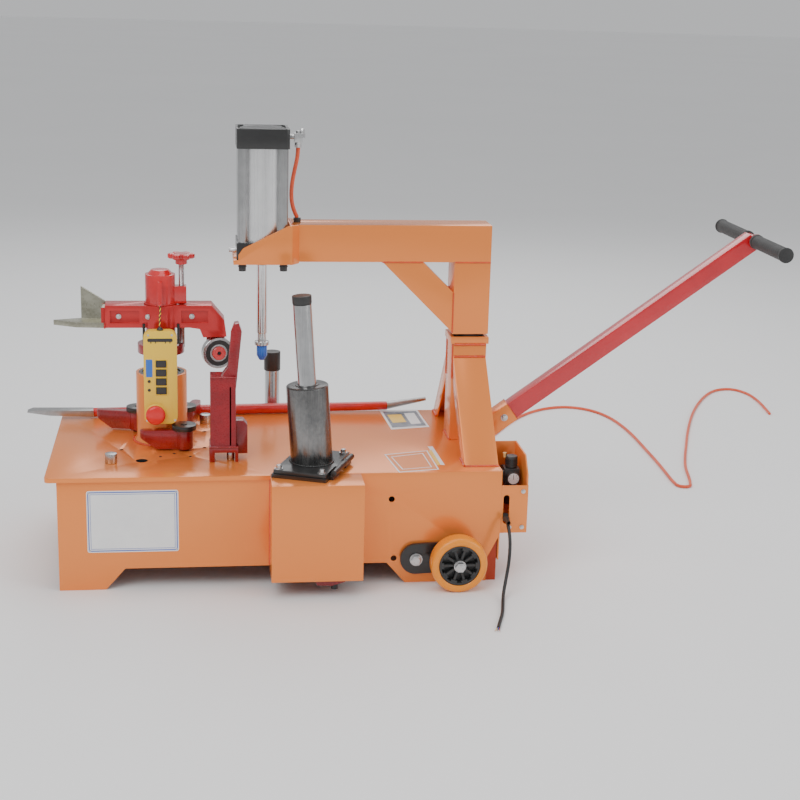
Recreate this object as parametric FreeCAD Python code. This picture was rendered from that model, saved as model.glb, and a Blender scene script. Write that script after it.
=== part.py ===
import FreeCAD, Part
import math
import os

# Tire changer machine: a floor cabinet whose table carries a turning tool head on a centre post,
# a swinging press arm with an air cylinder, two lifting rams, two wheels and a push handle.
# While it is laid out, X runs along the cabinet from its left end, Y from its front face to its
# back and Z up from the floor, in millimetres. At the end everything moves so that the origin is
# on the floor, at the middle of the machine's box without its free cords.
V = FreeCAD.Vector
X, Y, Z = V(1, 0, 0), V(0, 1, 0), V(0, 0, 1)

# Fits and gaps
fit = 0.05          # radial clearance of shafts and pins in their bores
slide_gap = 0.1     # play on each side of a square tube in its socket
gap = 0.3           # between faces of different moving bodies
# Cabinet and table
cabinet_w, cabinet_d = 1154.0, 609.0
table_top = 307.0
plate_t, sheet_t = 12.0, 4.0
overhang_left, overhang_front = 30.0, 8.0
skirt_z = 57.0
foot_left, foot_right = 119.0, 253.0
foot_chamfer = 50.0
rail = 40.0
# Front lifter box and rear lifter tray
box_x0, box_x1 = 542.0, 779.0
box_out, box_bottom = 100.0, 47.0
tray_w, tray_out, tray_top = 162.0, 153.0, 250.0
# Centre post, spindle and tool head
post_x, post_y = 261.0, 340.0
post_r, post_wall, post_top = 69.0, 8.0, 500.0
spindle_r, nose_r = 35.0, 30.0
disc_r, disc_z, disc_t = 63.0, 555.0, 25.0
hub_r, hub_z0, hub_z1 = 40.5, 602.0, 770.0
beam_z0, beam_z1, beam_w = 628.0, 689.0, 70.0
beam_left, beam_right = 114.0, 398.0
shoe_tip_x, shoe_fin_x = -25.0, 48.0
roller_r, roller_t, axle_r = 43.0, 25.0, 15.0
roller_x, roller_z, roller_turn = 408.0, 555.0, 14.0
screw_x, screw_r, screw_top = 318.0, 8.0, 797.0
knob_r, knob_t = 36.0, 30.0
# Claws
claw_l, claw_w, claw_z0, claw_z1 = 118.0, 26.0, table_top + 5, table_top + 57
claw_pin_r, claw_disc_r, claw_disc_t = 14.0, 33.0, 14.0
claw_places = {"front": (322.0, 234.0, 180.0), "left": (193.0, 425.0, 167.0), "right": (322.0, 430.0, 72.0)}
# Column and press arm
column_x, column_y, column_w, column_wall = 1106.0, 340.0, 96.0, 6.0
column_top, collar_h, collar_w = 604.0, 20.0, 106.0
leg_w, leg_foot_l, leg_knee_z, leg_wall = 92.0, 70.0, 548.0, 5.0
leg_front_y, leg_rear_y = 43.0, 604.0
arm_w, arm_wall, arm_z0, arm_z1 = 100.0, 6.0, 812.0, 912.0
upright_z0 = 612.0
swivel_r = 30.0
brace_foot_x, brace_head_x, brace_foot_z, brace_head_z = 858.0, 969.0, 616.0, 727.0
head_x0, head_x1, head_plate, head_side = 456.0, 612.0, 12.0, 6.0
cylinder_x, cap_w, cap_low_h, cap_top_z0, cap_top_z1 = 535.0, 140.0, 45.0, 1113.0, 1165.0
barrel_r, barrel_bore_r, tie_r, tie_pitch = 66.0, 62.5, 7.0, 110.0
press_rod_r, press_rod_end, press_tip_end, press_stroke = 14.0, 583.0, 530.0, 200.0
# Lifting rams
base_l, base_w, base_t, base_turn = 221.0, 147.0, 10.0, 22.2
base_corner_x, base_corner_y = 680.0, -80.0
hinge_r, hinge_pin_r = 8.0, 4.0
ram_r, ram_bore_r, ram_l, ram_lean = 55.0, 42.0, 205.0, 4.0
ram_rod_r, ram_rod_out, ram_rod_in = 24.0, 236.0, 45.0
rear_x, rear_y, rear_r, rear_z0, rear_z1 = 581.0, 682.0, 55.0, 51.0, 290.0
rear_rod_r, rear_rod_top, rear_cap_l = 21.5, 473.0, 57.0
# Wheels
wheel_r, wheel_t, core_r, wheel_x = 75.0, 50.0, 55.0, 1034.0
link_x, link_z, link_r, link_t, wheel_bolt_r, link_bolt_r = 928.0, 70.0, 42.0, 10.0, 8.0, 10.0
link_gap, wheel_gap = 3.0, 23.0
# Handle
socket_w, socket_wall, handle_wall = 56.0, 4.0, 4.0
handle_angle, handle_base_z = 36.0, 319.0
socket_l, handle_stop, handle_l = 107.0, 30.0, 937.0
bar_r, bar_half, grip_r, grip_start = 15.0, 260.0, 21.0, 32.0
# Remote control hanging from the tool head
remote_x, remote_w, remote_t = 261.0, 88.0, 34.0
remote_y, remote_z0, remote_z1 = 224.0, 382.0, 636.0
button_w, button_h, button_pitch, button_top_z, button_out = 27.0, 19.0, 24.5, 548.0, 4.0
button_x, button_in, pocket_gap = 263.0, 8.0, 0.4
stop_x, stop_z, stop_r, stop_stem_r = 247.0, 410.0, 26.0, 11.0
# Regulator housing on the right end
house_w, house_d, house_z0, house_z1, house_lip = 72.0, 175.0, 134.0, 338.0, 266.0
# Cords
cord_r, hose_r, press_hose_r, lanyard_r = 4.5, 5.0, 5.5, 2.5

parts = {}


def block(x0, x1, y0, y1, z0, z1):
    return Part.makeBox(x1 - x0, y1 - y0, z1 - z0, V(x0, y0, z0))


def rod(r, start, length, axis=Z):
    return Part.makeCylinder(r, length, V(*start), axis)


def ring(outer, inner, start, length, axis=Z):
    return rod(outer, start, length, axis).cut(rod(inner, start, length, axis))


def prism(outline, plane, low, high):
    """A flat outline in the plane xz, yz or xy, made thick from low to high along the third axis."""
    place = {"xz": lambda a, b: V(a, low, b), "yz": lambda a, b: V(low, a, b), "xy": lambda a, b: V(a, b, low)}
    along = {"xz": Y, "yz": X, "xy": Z}
    points = [place[plane](a, b) for a, b in outline]
    return Part.Face(Part.makePolygon(points + points[:1])).extrude(along[plane] * (high - low))


def turned(shape, centre, axis, degrees):
    copy = shape.copy()
    copy.rotate(V(*centre), axis, degrees)
    return copy


def mirrored_y(shape, y):
    return shape.mirror(V(0, y, 0), Y)


def fuse(first, *others):
    return first.multiFuse(list(others)).removeSplitter()


def group(*solids):
    return Part.makeCompound(list(solids))


def hexagon(across, start, height, axis=Z):
    corners = [(across / math.sqrt(3) * math.cos(math.radians(60 * k)),
                across / math.sqrt(3) * math.sin(math.radians(60 * k)), 0) for k in range(7)]
    head = Part.Face(Part.makePolygon([V(*c) for c in corners])).extrude(Z * height)
    head.Placement = FreeCAD.Placement(V(*start), FreeCAD.Rotation(Z, axis))
    return head


def cord_tube(name, points, r):
    """A round tube along straight runs joined by tangent arcs, as large as the runs allow."""
    p = [V(*q) for q in points]
    edges, at, radii = [], p[0], []
    for before, corner, after in zip(p, p[1:], p[2:]):
        way_in, way_out = (corner - before), (after - corner)
        reach = 0.45 * min(way_in.Length, way_out.Length)
        turn = way_in.getAngle(way_out)
        radii.append(reach / math.tan(turn / 2))
        a, b = corner - way_in.normalize() * reach, corner + way_out.normalize() * reach
        middle = (a + b) * 0.5
        bulge = radii[-1] * (1 / math.cos(turn / 2) - 1)
        top = corner + (middle - corner).normalize() * bulge
        edges += [Part.LineSegment(at, a).toShape(), Part.Arc(a, top, b).toShape()]
        at = b
    edges.append(Part.LineSegment(at, p[-1]).toShape())
    path = Part.Wire(edges)
    section = Part.Wire([Part.Circle(p[0], (p[1] - p[0]), r).toShape()])
    tube = path.makePipeShell([section], True, True)
    expected = math.pi * r * r * path.Length
    print(f"{name}: length {path.Length:.0f}, radii {min(radii):.0f} to {max(radii):.0f},",
          f"volume {tube.Volume / expected:.4f} of section times length")
    print("   runs", [round((b - a).Length) for a, b in zip(p, p[1:])], "radii", [round(q) for q in radii])
    return tube


def cabinet():
    foot_z, w, d, t = 0.0, cabinet_w, cabinet_d, sheet_t
    low_edge = [(0, foot_z), (foot_left, foot_z), (foot_left + foot_chamfer, skirt_z),
                (w - foot_right - foot_chamfer, skirt_z), (w - foot_right, foot_z)]
    right_corner = [(w - 34, foot_z), (w - 34, 62), (w, 130)]
    plate_z = table_top - plate_t
    top_edge = [(w, table_top), (box_x0, table_top), (box_x0, plate_z), (0, plate_z)]
    front = prism(low_edge + right_corner + top_edge, "xz", 0, t)
    for x, z in ((861, 234), (870, 69)):
        front = front.cut(rod(8, (x, -1, z), t + 2, Y))
    back = prism(low_edge + [(w, foot_z)] + top_edge, "xz", d - t, d)
    left = block(0, t, t, d - t, skirt_z, plate_z)
    right = block(w - t, w, t, d - t, skirt_z, table_top)
    parts["cabinet_skirt"] = group(front, back, left, right)

    wide = block(-overhang_left, box_x0, -overhang_front, d + overhang_front, plate_z, table_top)
    for edge in range(2):
        corner_y = (-overhang_front, d + overhang_front)[edge]
        inward = (1, -1)[edge]
        cut = block(-overhang_left, -overhang_left + 14, min(corner_y, corner_y + inward * 14),
                    max(corner_y, corner_y + inward * 14), plate_z, table_top)
        keep = rod(14, (-overhang_left + 14, corner_y + inward * 14, plate_z), plate_t)
        wide = wide.cut(cut.cut(keep))
    inside = block(box_x0, w - t, t, d - t, plate_z, table_top)
    plate = fuse(wide, inside)
    plate = plate.cut(rod(spindle_r + 2, (post_x, post_y, plate_z), plate_t))
    for x, y, angle in claw_places.values():
        plate = plate.cut(rod(claw_pin_r + fit, (x, y, plate_z), plate_t))
    for x, y, r in ((211, 137, 16), (153, 239, 6), (377, 403, 6), (376, 248, 6), (338, 170, 5)):
        plate = plate.cut(rod(r, (x, y, plate_z), plate_t))
    parts["table_plate"] = plate

    rails = [block(t, w - t, y, y + rail, plate_z - rail, plate_z) for y in (60, d - 60 - rail)]
    rails += [block(x, x + rail, 60 + rail, d - 60 - rail, plate_z - rail, plate_z) for x in (t, 420, 840)]
    legs = [block(x, x + rail, y, y + rail, foot_z, plate_z - rail)
            for x in (t + 20, w - t - 20 - rail) for y in (60, d - 60 - rail)]
    foot_plate = block(w - foot_right, w - 7, t, t + 6, foot_z, 135)
    brace = block(w - 54, w - 34, t + 6, 60, 100, 120)
    parts["inner_frame"] = group(*rails, *legs, foot_plate, brace)

    outer = block(box_x0, box_x1, -box_out, 0, box_bottom, table_top)
    parts["front_box"] = outer.cut(block(box_x0 + t, box_x1 - t, -box_out + t, 0, box_bottom, table_top - t))
    tray_x0 = rear_x - tray_w / 2
    outer = block(tray_x0, tray_x0 + tray_w, d, d + tray_out, box_bottom, tray_top)
    parts["rear_tray"] = outer.cut(block(tray_x0 + t, tray_x0 + tray_w - t, d, d + tray_out - t,
                                         rear_z0, tray_top))

    pins = [rod(16, (x, y, table_top), 26) for x, y in ((132, 123), (380, 495))]
    pins.append(rod(10, (444, 136, table_top), 22))
    parts["rim_pins"] = group(*pins)


def drive():
    case = block(post_x - 110, post_x + 110, post_y - 100, post_y + 100, 90, 250)
    case = case.cut(block(post_x - 98, post_x + 98, post_y - 88, post_y + 88, 102, 238))
    parts["gearbox_case"] = case.cut(rod(spindle_r + 2, (post_x, post_y, 238), 12))
    body = rod(60, (post_x + 122, post_y, 170), 190, X)
    flange = rod(75, (post_x + 110, post_y, 170), 12, X)
    cowl = rod(64, (post_x + 312, post_y, 170), 40, X)
    parts["drive_motor"] = fuse(body, flange, cowl)
    tank = block(690, 860, 180, 430, 70, 230)
    pump = block(860, 900, 260, 350, 110, 200)
    motor = fuse(rod(62, (900, 305, 155), 130, X), rod(54, (1030, 305, 155), 26, X))
    parts["power_pack"] = group(tank, pump, motor)


def post_and_spindle():
    foot = Part.makeCone(post_r + 8, post_r, 14, V(post_x, post_y, table_top))
    tube = fuse(rod(post_r, (post_x, post_y, table_top), post_top - table_top), foot)
    parts["post_tube"] = tube.cut(rod(post_r - post_wall, (post_x, post_y, table_top), post_top - table_top))
    bearing_r = post_r - post_wall
    bearings = [ring(bearing_r, spindle_r + fit, (post_x, post_y, z), 28) for z in (table_top + 8, post_top - 40)]
    half = column_w / 2 - column_wall
    low = block(column_x - half, column_x + half, column_y - half, column_y + half, table_top + 13, table_top + 43)
    high = fuse(block(column_x - half, column_x + half, column_y - half, column_y + half, column_top - 44, column_top),
                rod(44, (column_x, column_y, column_top), upright_z0 - column_top - slide_gap))
    bore = rod(swivel_r + fit, (column_x, column_y, table_top + 3), 320)
    parts["bearings_and_bushes"] = group(*bearings, low.cut(bore), high.cut(bore))
    shaft = fuse(rod(spindle_r, (post_x, post_y, 118), disc_z - 118),
                 rod(disc_r, (post_x, post_y, disc_z), disc_t),
                 rod(nose_r, (post_x, post_y, disc_z + disc_t), hub_z1 - disc_z - disc_t - 6))
    shaft = shaft.cut(rod(screw_r + 1, (screw_x, post_y, disc_z + 12), disc_t))
    gear = rod(84, (post_x, post_y, 150), 30)
    teeth = [turned(block(post_x + 78, post_x + 85, post_y - 2.4, post_y + 2.4, 150, 180),
                    (post_x, post_y, 0), Z, 360 / 36 * k) for k in range(36)]
    parts["spindle_shaft"] = fuse(shaft, gear.cut(Part.makeCompound(teeth)))


def tool_head():
    mid = (post_x, post_y)
    hub = fuse(rod(hub_r, (*mid, hub_z0), hub_z1 - hub_z0),
               Part.makeCone(hub_r - 6, 24, 12, V(*mid, hub_z1)),
               block(post_x - 6, post_x + 6, post_y - hub_r - 14, post_y - hub_r + 6, beam_z1 + 2, hub_z1 - 14),
               block(post_x + hub_r - 8, screw_x + 13, post_y - 14, post_y + 14, beam_z1 + 2, 738))
    hub = hub.cut(rod(nose_r + fit, (*mid, hub_z0 - 1), hub_z1 - hub_z0 - 3))
    hub = hub.cut(rod(screw_r + fit, (screw_x, post_y, beam_z1), 60))
    hook = rod(4, (post_x, post_y - hub_r - 30, beam_z1 + 10), 20, Y)
    parts["tool_hub"] = fuse(hub, hook)

    low, high = post_y - beam_w / 2, post_y + beam_w / 2
    right = beam_right
    profile = [(beam_left, beam_z0), (right - 58, beam_z0), (right - 32, beam_z0 - 4), (right - 23, beam_z0 - 27),
               (right + 40, beam_z0 - 25), (right + 34, beam_z0 + 20), (right, beam_z1), (beam_left, beam_z1)]
    beam = prism(profile, "xz", low, high)
    boss = rod(hub_r + 11, (*mid, beam_z0), beam_z1 - beam_z0)
    lug = block(roller_x - 24, roller_x + 26, post_y + 10, high, roller_z - 26, beam_z0 - 20)
    beam = fuse(beam, boss, lug)
    for y0, y1 in ((low - 1, low + 10), (high - 10, high + 1)):
        beam = beam.cut(block(beam_left + 14, post_x - hub_r - 16, y0, y1, beam_z0 + 14, beam_z1 - 14))
        beam = beam.cut(block(post_x + hub_r + 16, right - 10, y0, y1, beam_z0 + 14, beam_z1 - 14))
    beam = beam.cut(rod(hub_r, (*mid, beam_z0), beam_z1 - beam_z0))
    parts["tool_beam"] = beam.cut(rod(screw_r + 3, (screw_x, post_y, beam_z0), beam_z1 - beam_z0))

    blade = [(beam_left, low), (beam_left, high - 4), (shoe_fin_x, high - 2), (shoe_tip_x, post_y + 8), (38, low + 8)]
    fin = prism([(beam_left, beam_z0 + 12), (beam_left, beam_z1), (shoe_fin_x, beam_z1 + 42), (shoe_fin_x, beam_z0 + 14)],
                "xz", high - 12, high - 2)
    web = block(beam_left - 10, beam_left, low + 4, high - 2, beam_z0 + 10, beam_z1 - 6)
    foot = prism(blade, "xy", beam_z0, beam_z0 + 14)
    parts["mount_shoe"] = fuse(foot, fin, web)

    along = V(math.sin(math.radians(roller_turn)), -math.cos(math.radians(roller_turn)), 0)
    start = V(roller_x, post_y + 12, roller_z)
    axle = rod(axle_r, start, 38, along)
    cap = rod(19, start + along * (38 + gap), 5, along)
    neck = rod(9, start + along * 38, 1, along)
    axle = fuse(axle, cap, neck).cut(block(roller_x - 24, roller_x + 26, post_y + 10, high, roller_z - 40, beam_z0))
    parts["roller_axle"] = fuse(axle, rod(10, start - along * 2, 10, along).cut(
        block(roller_x - 24, roller_x + 26, post_y + 10, high, roller_z - 40, beam_z0)))
    parts["roller_ring"] = ring(roller_r, axle_r + fit, start + along * 12.5, roller_t, along)
    for name in ("roller_axle",):
        parts[name] = parts[name].removeSplitter()

    knob = rod(16, (screw_x, post_y, screw_top), 16)
    lobes = [rod(11, (screw_x + (knob_r - 10) * math.cos(math.radians(60 * k)),
                      post_y + (knob_r - 10) * math.sin(math.radians(60 * k)), screw_top + 14), knob_t - 14)
             for k in range(6)]
    knob = fuse(knob, rod(knob_r - 10, (screw_x, post_y, screw_top + 14), knob_t - 14), *lobes)
    stem_z = disc_z + 12 + slide_gap
    parts["height_screw"] = fuse(rod(screw_r, (screw_x, post_y, stem_z), screw_top - stem_z), knob)


def claws():
    for name, (x, y, angle) in claw_places.items():
        half = claw_w / 2
        bar = block(x, x + claw_l - half, y - half, y + half, claw_z0, claw_z1)
        tip = rod(half, (x + claw_l - half, y, claw_z0), claw_z1 - claw_z0)
        root = rod(claw_pin_r + 10, (x, y, claw_z0), claw_z1 - claw_z0)
        claw = fuse(bar, tip, root)
        under = prism([(x + claw_l - 44, claw_z0), (x + claw_l + 1, claw_z0), (x + claw_l + 1, claw_z0 + 32)],
                      "xz", y - half - 1, y + half + 1)
        claw = claw.cut(under)
        claw = turned(claw, (x, y, 0), Z, angle)
        claw = claw.cut(rod(claw_pin_r, (x, y, claw_z0), claw_z1 - claw_z0))
        pin = fuse(rod(claw_pin_r, (x, y, table_top - plate_t - 14), claw_z1 - table_top + plate_t + 14),
                   rod(claw_disc_r, (x, y, claw_z1), claw_disc_t))
        parts["claw_" + name] = group(claw, pin)


def column():
    c, half = (column_x, column_y), column_w / 2
    outer = block(c[0] - half, c[0] + half, c[1] - half, c[1] + half, table_top, column_top)
    inner = half - column_wall
    parts["column_tube"] = outer.cut(block(c[0] - inner, c[0] + inner, c[1] - inner, c[1] + inner,
                                           table_top, column_top))

    def leg(side, foot_y):
        face = c[1] + side * half
        knee = face + side * 6
        foot_in = foot_y - side * leg_foot_l
        slope = (leg_knee_z - table_top) / abs(foot_y - knee)
        inner_z = table_top + abs(face - foot_in) * slope
        top = column_top - collar_h
        profile = [(face, top), (knee, top), (knee, leg_knee_z), (foot_y, table_top), (foot_in, table_top),
                   (face, inner_z)]
        core = [(a - side * leg_wall * 1.2, b - leg_wall) for a, b in profile]
        solid = prism(profile, "yz", c[0] - leg_w / 2, c[0] + leg_w / 2)
        return solid.cut(prism(core, "yz", c[0] - leg_w / 2 + leg_wall, c[0] + leg_w / 2 - leg_wall))

    wide = collar_w / 2
    collar = block(c[0] - wide, c[0] + wide, c[1] - wide, c[1] + wide, column_top - collar_h, column_top)
    collar = collar.cut(outer)
    parts["column_legs"] = group(leg(-1, leg_front_y), leg(1, leg_rear_y), collar)


def press_arm():
    c, half = (column_x, column_y), arm_w / 2
    y0, y1, wall = c[1] - half, c[1] + half, arm_wall
    x1 = c[0] + half
    beam = block(head_x1, x1, y0, y1, arm_z0, arm_z1)
    beam = beam.cut(block(head_x1, x1 - wall, y0 + wall, y1 - wall, arm_z0 + wall, arm_z1 - wall))
    beam = beam.cut(rod(press_hose_r + 4.5, (head_x1 + 17, c[1], arm_z1 - wall), wall))
    upright = block(c[0] - half, x1, y0, y1, upright_z0, arm_z0)
    upright = upright.cut(block(c[0] - half + wall, x1 - wall, y0 + wall, y1 - wall, upright_z0, arm_z0))
    left = c[0] - half
    brace = prism([(brace_foot_x, arm_z0), (brace_head_x, arm_z0), (left, brace_head_z), (left, brace_foot_z)],
                  "xz", y0, y1)
    inset = wall * 1.42
    brace = brace.cut(prism([(brace_foot_x + inset, arm_z0), (brace_head_x - inset, arm_z0),
                             (left, brace_head_z - inset), (left, brace_foot_z + inset)],
                            "xz", y0 + wall, y1 - wall))

    cap_half = cap_w / 2
    low, high = c[1] - cap_half - head_side, c[1] + cap_half + head_side
    floor_z0, floor_z1 = arm_z0 - 4, arm_z0 - 4 + head_plate
    floor = block(head_x0, head_x1, low, high, floor_z0, floor_z1)
    cheek = [(head_x0 + 13, floor_z1), (head_x0 + 13, floor_z1 + 14), (head_x0 + 26, floor_z1 + 32), (head_x1 - 10, arm_z1),
             (head_x1, arm_z1), (head_x1, floor_z1)]
    cheeks = [prism(cheek, "xz", a, a + head_side) for a in (low, high - head_side)]
    back = block(head_x1 - head_side, head_x1, low, high, floor_z1, arm_z1)
    wedges = [prism([(head_x1, low), (head_x1 + 20, y0), (head_x1, y0)], "xy", floor_z0, arm_z1),
              prism([(head_x1, high), (head_x1 + 20, y1), (head_x1, y1)], "xy", floor_z0, arm_z1)]
    head = fuse(floor, *cheeks, back, *wedges)
    offsets = [(a, b) for a in (-tie_pitch / 2, tie_pitch / 2) for b in (-tie_pitch / 2, tie_pitch / 2)]
    holes = [rod(tie_r, (cylinder_x + a, c[1] + b, floor_z0 - 30), 500) for a, b in offsets]
    head = head.cut(rod(press_rod_r + 4, (cylinder_x, c[1], floor_z0), head_plate)).cut(group(*holes))
    parts["arm_frame"] = group(beam, upright, brace, head)

    plug = half - wall
    parts["swivel_shaft"] = fuse(rod(swivel_r, (*c, table_top + 5), upright_z0 - table_top - 5),
                                 block(c[0] - plug, c[0] + plug, c[1] - plug, c[1] + plug, upright_z0, upright_z0 + 40))

    cap_z1 = floor_z1 + cap_low_h
    parts["cylinder_barrel"] = ring(barrel_r, barrel_bore_r, (cylinder_x, c[1], cap_z1), cap_top_z0 - cap_z1)
    lower = block(cylinder_x - cap_half, cylinder_x + cap_half, c[1] - cap_half, c[1] + cap_half, floor_z1, cap_z1)
    lower = lower.cut(rod(press_rod_r + fit, (cylinder_x, c[1], floor_z1), cap_low_h))
    upper = block(cylinder_x - cap_half, cylinder_x + cap_half, c[1] - cap_half, c[1] + cap_half,
                  cap_top_z0, cap_top_z1)
    upright_edges = [e for e in upper.Edges if abs(e.Vertexes[0].Z - e.Vertexes[-1].Z) > 1]
    upper = upper.makeFillet(10, upright_edges)
    rods = [fuse(rod(tie_r, (cylinder_x + a, c[1] + b, floor_z0 - 6), cap_top_z1 - floor_z0 + 6),
                 rod(tie_r + 3, (cylinder_x + a, c[1] + b, floor_z0 - 20), 20)) for a, b in offsets]
    parts["cylinder_caps"] = group(lower.cut(group(*holes)), upper.cut(group(*holes)), *rods)
    elbow_x = cylinder_x + cap_half
    elbow = fuse(rod(7, (elbow_x, c[1], 1140), 16, X), block(elbow_x + 14, elbow_x + 36, c[1] - 10, c[1] + 10, 1126, 1150),
                              rod(9, (elbow_x + 25, c[1], 1112), 14))
    grommet = ring(press_hose_r + 4.5, press_hose_r, (head_x1 + 17, c[1], arm_z1 - wall), wall + 12)
    parts["air_fittings"] = group(elbow, grommet)
    route = [(elbow_x + 25, c[1], 1111.3), (elbow_x + 24, c[1] - 2, 1088), (elbow_x + 15, c[1] - 6, 1050),
             (elbow_x + 8, c[1] - 9, 1012), (elbow_x + 7, c[1] - 9, 976), (elbow_x + 14, c[1] - 5, 944),
             (head_x1 + 16.6, c[1] - 0.4, arm_z1 + 13.5)]
    parts["press_hose"] = cord_tube("press_hose", route, press_hose_r)

    neck = 24
    shaft = fuse(rod(press_rod_r, (cylinder_x, c[1], press_rod_end + neck), cap_z1 + 14 - press_rod_end - neck),
                 rod(press_rod_r - 2, (cylinder_x, c[1], press_rod_end), neck),
                 rod(20, (cylinder_x, c[1], press_rod_end - 10), 10),
                 rod(barrel_bore_r - fit, (cylinder_x, c[1], cap_z1 + 12), 24))
    parts["press_rod"] = shaft
    tip = fuse(rod(14.5, (cylinder_x, c[1], press_tip_end + 14), press_rod_end - 10 - press_tip_end - 14),
               Part.makeCone(7, 14.5, 14, V(cylinder_x, c[1], press_tip_end)))
    parts["press_tip"] = tip


def rams():
    corner = (base_corner_x, base_corner_y, 0)
    centre = V(base_corner_x - base_w / 2, base_corner_y + base_l / 2, 0)
    top = table_top
    plate = block(base_corner_x - base_w, base_corner_x, base_corner_y, base_corner_y + base_l, top, top + base_t)
    pin_x, pin_z = base_corner_x + hinge_r + 3, top + base_t + hinge_r
    knuckle_y = base_corner_y + 30
    third = (base_l - 60) / 3

    def knuckle(k, length=third):
        return rod(hinge_r, (pin_x, knuckle_y + k * third, pin_z), length, Y)

    low_knuckles = [knuckle(0, third - gap), knuckle(2 + gap / third, third - gap)]
    low_webs = [block(base_corner_x - 4, pin_x, knuckle_y + k * third + o, knuckle_y + (k + 1) * third - 1 + o,
                      top, top + base_t) for k, o in ((0, 0), (2, 1))]
    hinge_pin = rod(hinge_pin_r, (pin_x, knuckle_y, pin_z), 3 * third, Y)
    low = fuse(plate, *low_webs, *low_knuckles, hinge_pin)
    up_z = top + base_t + 0.5
    upper = block(base_corner_x - base_w + 4, base_corner_x - 2, base_corner_y + 4, base_corner_y + base_l - 4,
                  up_z, up_z + base_t)
    web = block(base_corner_x - 6, pin_x, knuckle_y + third + 1, knuckle_y + 2 * third - 1, up_z + 0.5, up_z + base_t)
    upper = fuse(upper, web, knuckle(1)).cut(rod(hinge_pin_r + fit, (pin_x, knuckle_y, pin_z), 3 * third, Y))
    for k in (0, 2):
        upper = upper.cut(rod(hinge_r + 1.5, (pin_x, knuckle_y + k * third - 1, pin_z), third + 1, Y))
    parts["lifter_base"] = turned(low, corner, Z, -base_turn)
    parts["lifter_plate"] = turned(upper, corner, Z, -base_turn)
    middle = FreeCAD.Rotation(Z, -base_turn).multVec(centre - V(*corner)) + V(*corner)
    foot = (middle.x, middle.y, up_z + base_t)
    axis_z = foot[2]
    wall = rod(ram_r, (foot[0], foot[1], axis_z - 10), ram_l + 10)
    wall = wall.cut(rod(ram_bore_r, (foot[0], foot[1], axis_z + 14), ram_l - 34))
    wall = wall.cut(rod(ram_rod_r + fit, (foot[0], foot[1], axis_z + 14), ram_l))
    wall = turned(wall, foot, Y, -ram_lean)
    parts["lifter_barrel"] = wall.cut(block(foot[0] - 90, foot[0] + 90, foot[1] - 90, foot[1] + 90, axis_z - 40, axis_z))
    start = axis_z + ram_l - ram_rod_in
    ram = fuse(rod(ram_rod_r, (foot[0], foot[1], start), ram_rod_in + ram_rod_out - 20),
               rod(ram_bore_r - fit, (foot[0], foot[1], start - 12), 14))
    cap = rod(ram_rod_r + 1.2, (foot[0], foot[1], axis_z + ram_l + ram_rod_out - 20), 21)
    parts["lifter_rod_front"] = turned(group(ram, cap), foot, Y, -ram_lean)

    barrel = rod(rear_r, (rear_x, rear_y, rear_z0), rear_z1 - rear_z0)
    barrel = barrel.cut(rod(ram_bore_r, (rear_x, rear_y, rear_z0 + 14), rear_z1 - rear_z0 - 34))
    parts["rear_barrel"] = barrel.cut(rod(rear_rod_r + fit, (rear_x, rear_y, rear_z0 + 14), 300))
    rear_rod = fuse(rod(rear_rod_r, (rear_x, rear_y, rear_z1 - 50), rear_rod_top - rear_cap_l - rear_z1 + 50),
                    rod(ram_bore_r - fit, (rear_x, rear_y, rear_z1 - 62), 14))
    parts["lifter_rod_rear"] = group(rear_rod, rod(24.5, (rear_x, rear_y, rear_rod_top - rear_cap_l), rear_cap_l))
    return foot, (pin_x, knuckle_y, pin_z)


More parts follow.
